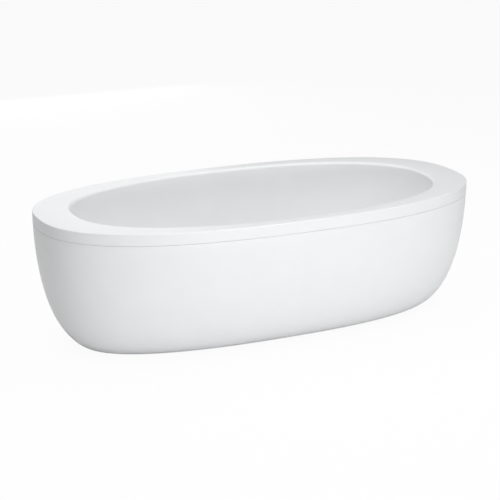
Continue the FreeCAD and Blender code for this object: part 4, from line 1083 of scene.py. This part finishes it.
def hose_route(bath, fittings):
    """Control points of the hose: down from the overflow, beside the backing and in to the waste."""
    place = overflow_place(bath)
    skin = bath.sheet + bath.bond + bath.backing
    basin = basin_profile(bath)
    low_end = fittings.hose_inlet
    clear = skin + fittings.hose_gap + fittings.hose_radius
    begin = place @ Vector((0, fittings.hose_start, -fittings.hose_depth))
    below = place @ Vector((0, fittings.hose_below, -fittings.hose_depth))
    beside = wall_point(offset(basin, clear), (below.z + low_end) / 2)[0]
    corner = wall_point(offset(basin, clear), (beside.z + low_end) / 2)[0]
    return [begin, below, beside, Vector((0, corner.y, low_end)), Vector((0, -fittings.hose_start, low_end))]


def smooth_line(name, route):
    """A line through the middle of a smooth curve whose control points are the route."""
    curve = bpy.data.curves.new(name, "CURVE")
    curve.dimensions = "3D"
    curve.resolution_u = LINE_STEPS
    spline = curve.splines.new("NURBS")
    spline.points.add(len(route) - 1)
    for point, place in zip(spline.points, route):
        point.co = (*place, 1)
    spline.order_u = 3
    spline.use_endpoint_u = True
    smooth = new_piece(name + "_line", curve)
    line = new_piece(name, plain_mesh(smooth))
    bpy.data.objects.remove(smooth)
    return line


class BATH_OT_plug(bpy.types.Operator):
    """Turns the domed plug cap that rises from the waste"""
    bl_idname = "bath.plug"
    bl_label = "Plug Cap"

    def execute(self, context):
        fittings = context.scene.bath_fittings
        bottom, top = low("plug_cap").z, high("plug_cap").z
        radius, neck, round_edge = high("plug_cap").x, fittings.plug_neck, fittings.plug_edge
        skirt = top - fittings.plug_height
        shoulder = (skirt + top) / 2
        crown = domed(radius * CROWN_SHARE, shoulder, top, CROWN_ROWS)
        profile = [(0, bottom)]
        profile += turned_corner((0, bottom), (neck, bottom), (neck, skirt), round_edge)
        profile += [(neck, skirt)]
        profile += turned_corner((neck, skirt), (radius, skirt), (radius, shoulder), round_edge)
        profile += turned_corner((radius, skirt), (radius, shoulder), crown[0], round_edge)
        profile += [*crown, (0, top)]
        cap = new_piece("domed_plug", lathe_mesh("domed_plug", profile, PLUG_SIDES))
        tidy_mesh(cap.data)
        settle(cap, "plug", "chrome", "plug_cap")
        return {"FINISHED"}


class BATH_OT_overflow_knob(bpy.types.Operator):
    """Turns the overflow knob and mills its finger notches"""
    bl_idname = "bath.overflow_knob"
    bl_label = "Overflow Knob"

    def execute(self, context):
        bath, fittings = context.scene.bath_shape, context.scene.bath_fittings
        radius, notch, edge = fittings.knob_radius, fittings.knob_notch, fittings.knob_edge
        bottom = fittings.knob_lift
        top = bottom + fittings.knob_height
        centre = radius + notch / 2
        step_angle = math.tau / fittings.knob_notches

        def reach(angle):
            aside = (angle % step_angle) - step_angle / 2
            within = notch ** 2 - (centre * math.sin(aside)) ** 2
            return centre * math.cos(aside) - math.sqrt(within) if within > 0 else radius

        chamfer = fittings.knob_height / 4
        profile = [(0, bottom)]
        profile += turned_corner((0, bottom), (radius, bottom), (radius, top), edge / 2)
        profile += turned_corner((radius, bottom), (radius, top - chamfer), (radius - chamfer, top), edge)
        profile += turned_corner((radius, top - chamfer), (radius - chamfer, top), (0, top), edge)
        dish_radius = (radius - chamfer) * DISH_SHARE
        for share_out, share_down in DISH_COURSE:
            profile.append((dish_radius * share_out, top - DISH_DEPTH * share_down))
        mesh = lathe_mesh("notched_knob", profile, NOTCH_SIDES * fittings.knob_notches, reach)
        mesh.transform(overflow_place(bath))
        tidy_mesh(mesh)
        settle(new_piece("notched_knob", mesh), "knob", "chrome", "overflow_knob")
        return {"FINISHED"}


def screw_mesh(name, shank, point, seat, head_radius, head_height, pitch, slot):
    """A pan-head screw with a cross recess. Its thread runs from the point up to the seat of its head."""
    thread = threaded_bar(name, shank, pitch, (0, 0, point), seat - point, slot)
    top = seat + head_height
    dome = domed(head_radius, seat, top, SCREW_ROWS)
    profile = [(0, seat), (head_radius, seat), *dome, (0, top)]
    head = new_piece(name, lathe_mesh(name, profile, SCREW_SIDES))
    arm, bottom, above = head_radius * RECESS_REACH, top - head_height * RECESS_DEPTH, top + head_height
    width = arm * RECESS_WIDTH
    for across, along in ((arm, width), (width, arm)):
        corners = [(x * across, y * along, z) for z in (bottom, above)
                   for x, y in ((-1, -1), (1, -1), (1, 1), (-1, 1))]
        cut_with(head, corners, [(3, 2, 1, 0), (4, 5, 6, 7), *bands(2, 4)])
    head_mesh = head.data
    bpy.data.objects.remove(head)
    return joined(name, thread, head_mesh)


class BATH_OT_screws(bpy.types.Operator):
    """Sets the board screws and the overflow's screws"""
    bl_idname = "bath.screws"
    bl_label = "Screws"

    def execute(self, context):
        bath, fittings = context.scene.bath_shape, context.scene.bath_fittings
        boxes = solids("board_screws")
        tall = boxes[0][1].z - boxes[0][0].z
        head_radius = (boxes[0][1].x - boxes[0][0].x) / 2
        shank, head_height = fittings.screw_radius, fittings.screw_head_height
        places = [seat_of(box) for box in boxes]
        # drawn head up, and turned over to be driven from below
        mesh = screw_mesh("board_screw", shank, head_height - tall, 0, head_radius, head_height,
                          fittings.screw_pitch, "zinc_steel")
        mesh.transform(Matrix.Translation((0, 0, -head_height)))
        board = like_pieces("board_screws_threaded", mesh, places, "zinc_steel", (math.pi, 0, 0))
        settle(board, "tub", "zinc_steel", "board_screws")

        axis = overflow_place(bath)
        seat = fittings.trim_front
        mesh = screw_mesh("trim_screw", shank, -fittings.trim_screw_depth, seat, head_radius, head_height,
                          fittings.screw_pitch, "chrome")
        sides = [axis @ Vector((side * fittings.trim_screw_ring, 0, 0)) for side in (-1, 1)]
        trim = like_pieces("overflow_screws_threaded", mesh, sides, "chrome", tuple(axis.to_euler()))
        settle(trim, "tub", "chrome", "overflow_screws")
        return {"FINISHED"}


class BATH_OT_levelling(bpy.types.Operator):
    """Threads the levelling rods and sets their nuts"""
    bl_idname = "bath.levelling"
    bl_label = "Levelling Rods"

    def execute(self, context):
        fittings = context.scene.bath_fittings
        for foot in FEET:
            node = f"{foot}_levelling_rod"
            first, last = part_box(node)
            foot_point = seat_of((first, last))
            bar = threaded_bar(node, fittings.rod_radius, fittings.rod_pitch, foot_point,
                               last.z - first.z, "zinc_steel")
            corner_radius = (last.x - first.x) / 2
            collar = hexagon_mesh("rod_collar", corner_radius, fittings.collar_lift,
                                  fittings.collar_lift + fittings.collar_height, COLLAR_CHAMFER)
            collar.transform(Matrix.Translation((foot_point.x, foot_point.y, 0)))
            piece = new_piece(f"{foot}_threaded_rod", joined(node, bar, collar))
            tidy_mesh(piece.data)
            settle(piece, f"{foot}_rod", "zinc_steel", node)
        for node in ("foot_nuts", "foot_lock_nuts"):
            boxes = solids(node)
            tall, corner_radius = boxes[0][1].z - boxes[0][0].z, (boxes[0][1].x - boxes[0][0].x) / 2
            nut = hexagon_mesh("nut", corner_radius, 0, tall, NUT_CHAMFER,
                               fittings.rod_radius + NUT_CLEARANCE)
            nuts = like_pieces(f"{node}_chamfered", nut, [seat_of(box) for box in boxes], "zinc_steel")
            settle(nuts, "tub", "zinc_steel", node)
        return {"FINISHED"}


class BATH_OT_hose(bpy.types.Operator):
    """Runs the ribbed hose from the overflow to the waste"""
    bl_idname = "bath.hose"
    bl_label = "Overflow Hose"

    def execute(self, context):
        bath, fittings = context.scene.bath_shape, context.scene.bath_fittings
        hose = smooth_line("hose_ribbed", hose_route(bath, fittings))
        tree = bpy.data.node_groups.get("Ribbed Hose") or hose_tree()
        run_tree(hose, tree, Radius=fittings.hose_radius, Rib_Depth=fittings.rib_depth,
                 Rib_Spacing=fittings.rib_spacing, Material=finish_of("hose_plastic"))
        tidy_mesh(hose.data, 50)
        settle(hose, "tub", "hose_plastic", "overflow_hose")
        return {"FINISHED"}


class BATH_OT_finishes(bpy.types.Operator):
    """Gives every engineering piece that shows as it is the finish of its slot"""
    bl_idname = "bath.finishes"
    bl_label = "Finishes"

    def execute(self, context):
        for subpart in frame["record"]["subparts"]:
            node = frame["nodes"][subpart["node"]]
            if node.hide_render:
                continue
            node.data.materials.clear()
            node.data.materials.append(finish_of(subpart["material_slot"]))
        return {"FINISHED"}


# ---- stage ----

def aim(thing, place, target):
    thing.location = place
    thing.rotation_euler = (Vector(target) - Vector(place)).to_track_quat("-Z", "Y").to_euler()


def soft_light(name, place, target, width, height, strength):
    """A softbox that lights the object and isn't seen by the lens."""
    lamp = bpy.data.lights.new(name, "AREA")
    lamp.shape = "RECTANGLE"
    lamp.size, lamp.size_y = width, height
    lamp.energy = strength
    thing = bpy.data.objects.new(name, lamp)
    thing.visible_camera = False
    bpy.context.scene.collection.objects.link(thing)
    aim(thing, place, target)


def seen_white(tree, surface, shadow, output):
    """Shows a lit studio surface as nearly white to the lens, and leaves its light on the object as it is."""
    seen = add(tree, "ShaderNodeLightPath", out="Is Camera Ray")
    amount = add(tree, MATH, {0: seen, 1: 1 - shadow}, 0, operation="MULTIPLY")
    white = add(tree, "ShaderNodeEmission", {"Color": linear("#FFFFFF"), "Strength": 1}, 0)
    mix = add(tree, "ShaderNodeMixShader", {0: amount, 1: surface, 2: white}, 0)
    tree.links.new(mix, output.inputs["Surface"])


SENSOR_WIDTH = 36  # mm across a full frame
LENS_SHIFT = (-0.0144, 0.0126)  # in widths of the frame


class BATH_OT_stage(bpy.types.Operator):
    """Makes the pale floor, the soft lights and the camera"""
    bl_idname = "bath.stage"
    bl_label = "Stage"

    def execute(self, context):
        studio = context.scene.bath_studio
        half = studio.floor_size / 2
        corners = [(-half, -half, 0), (half, -half, 0), (half, half, 0), (-half, half, 0)]
        sheet = mesh_from("studio_floor", corners, [(0, 1, 2, 3)])
        paper, tree, shader, _ = start_material("studio_paper", Roughness=1)
        shader.inputs["Base Color"].default_value = linear("#F4F4F4")
        seen_white(tree, shader.outputs[0], studio.shadow, tree.nodes["Material Output"])
        sheet.materials.append(paper)
        new_piece("studio_floor", sheet)

        centre = Vector((0, 0, RIM_TOP.z / 2))
        for name, place, width, height in (
                ("overhead", (0, 0, 3.5), 6, 5),
                ("over_front", (0, -3.5, 3.2), 5, 2),
                ("front", (0.3, -5.5, 0.55), 4, 0.9),
                ("left", (-3.6, -4.2, 1.5), 3, 2.2),
                ("rear", (0, 5, 2), 4, 2.2),
                ("rear_low", (0, 5.5, 0.5), 4, 0.8),
        ):
            soft_light(name, place, centre, width, height, getattr(studio, name))
        world = bpy.data.worlds.new("studio_air")
        world.use_nodes = True
        context.scene.world = world
        air = world.node_tree.nodes["Background"]
        air.inputs["Color"].default_value = linear("#FFFFFF")
        air.inputs["Strength"].default_value = studio.air
        seen_white(world.node_tree, air.outputs[0], 0, world.node_tree.nodes["World Output"])
        context.scene.view_settings.view_transform = "Standard"

        lens = bpy.data.cameras.new("camera")
        lens.lens = studio.focal_length
        lens.sensor_width = SENSOR_WIDTH
        lens.shift_x, lens.shift_y = LENS_SHIFT
        camera = bpy.data.objects.new("camera", lens)
        context.scene.collection.objects.link(camera)
        azimuth, elevation = studio.view_azimuth, studio.view_elevation
        back = Vector((math.sin(azimuth) * math.cos(elevation), -math.cos(azimuth) * math.cos(elevation),
                       math.sin(elevation)))
        aim(camera, centre + back * studio.view_distance, centre)
        context.scene.camera = camera
        return {"FINISHED"}


# ---- panel, registration and the run ----

class BATH_PT_panel(bpy.types.Panel):
    """Lists the bath's operators"""
    bl_idname = "BATH_PT_panel"
    bl_label = "Freestanding Bath"
    bl_space_type = "VIEW_3D"
    bl_region_type = "UI"
    bl_category = "Bath"

    def draw(self, context):
        for operator in OPERATORS:
            self.layout.operator(operator.bl_idname)


OPERATORS = (
    BATH_OT_tub_shell,
    BATH_OT_backing,
    BATH_OT_apron,
    BATH_OT_plug,
    BATH_OT_overflow_knob,
    BATH_OT_screws,
    BATH_OT_levelling,
    BATH_OT_hose,
    BATH_OT_finishes,
    BATH_OT_stage,
)
GROUPS = {
    "bath_shape": BathShape,
    "bath_fittings": BathFittings,
    "bath_colours": BathColours,
    "bath_studio": BathStudio,
}


def register():
    for group in GROUPS.values():
        bpy.utils.register_class(group)
    for name, group in GROUPS.items():
        setattr(bpy.types.Scene, name, bpy.props.PointerProperty(type=group))
    for thing in (*OPERATORS, BATH_PT_panel):
        bpy.utils.register_class(thing)


def unregister():
    for thing in reversed((*OPERATORS, BATH_PT_panel)):
        bpy.utils.unregister_class(thing)
    for name in GROUPS:
        delattr(bpy.types.Scene, name)
    for group in GROUPS.values():
        bpy.utils.unregister_class(group)


def main():
    register()
    for operator in OPERATORS:
        group, name = operator.bl_idname.split(".")
        getattr(getattr(bpy.ops, group), name)()


if __name__ == "__main__":
    main()
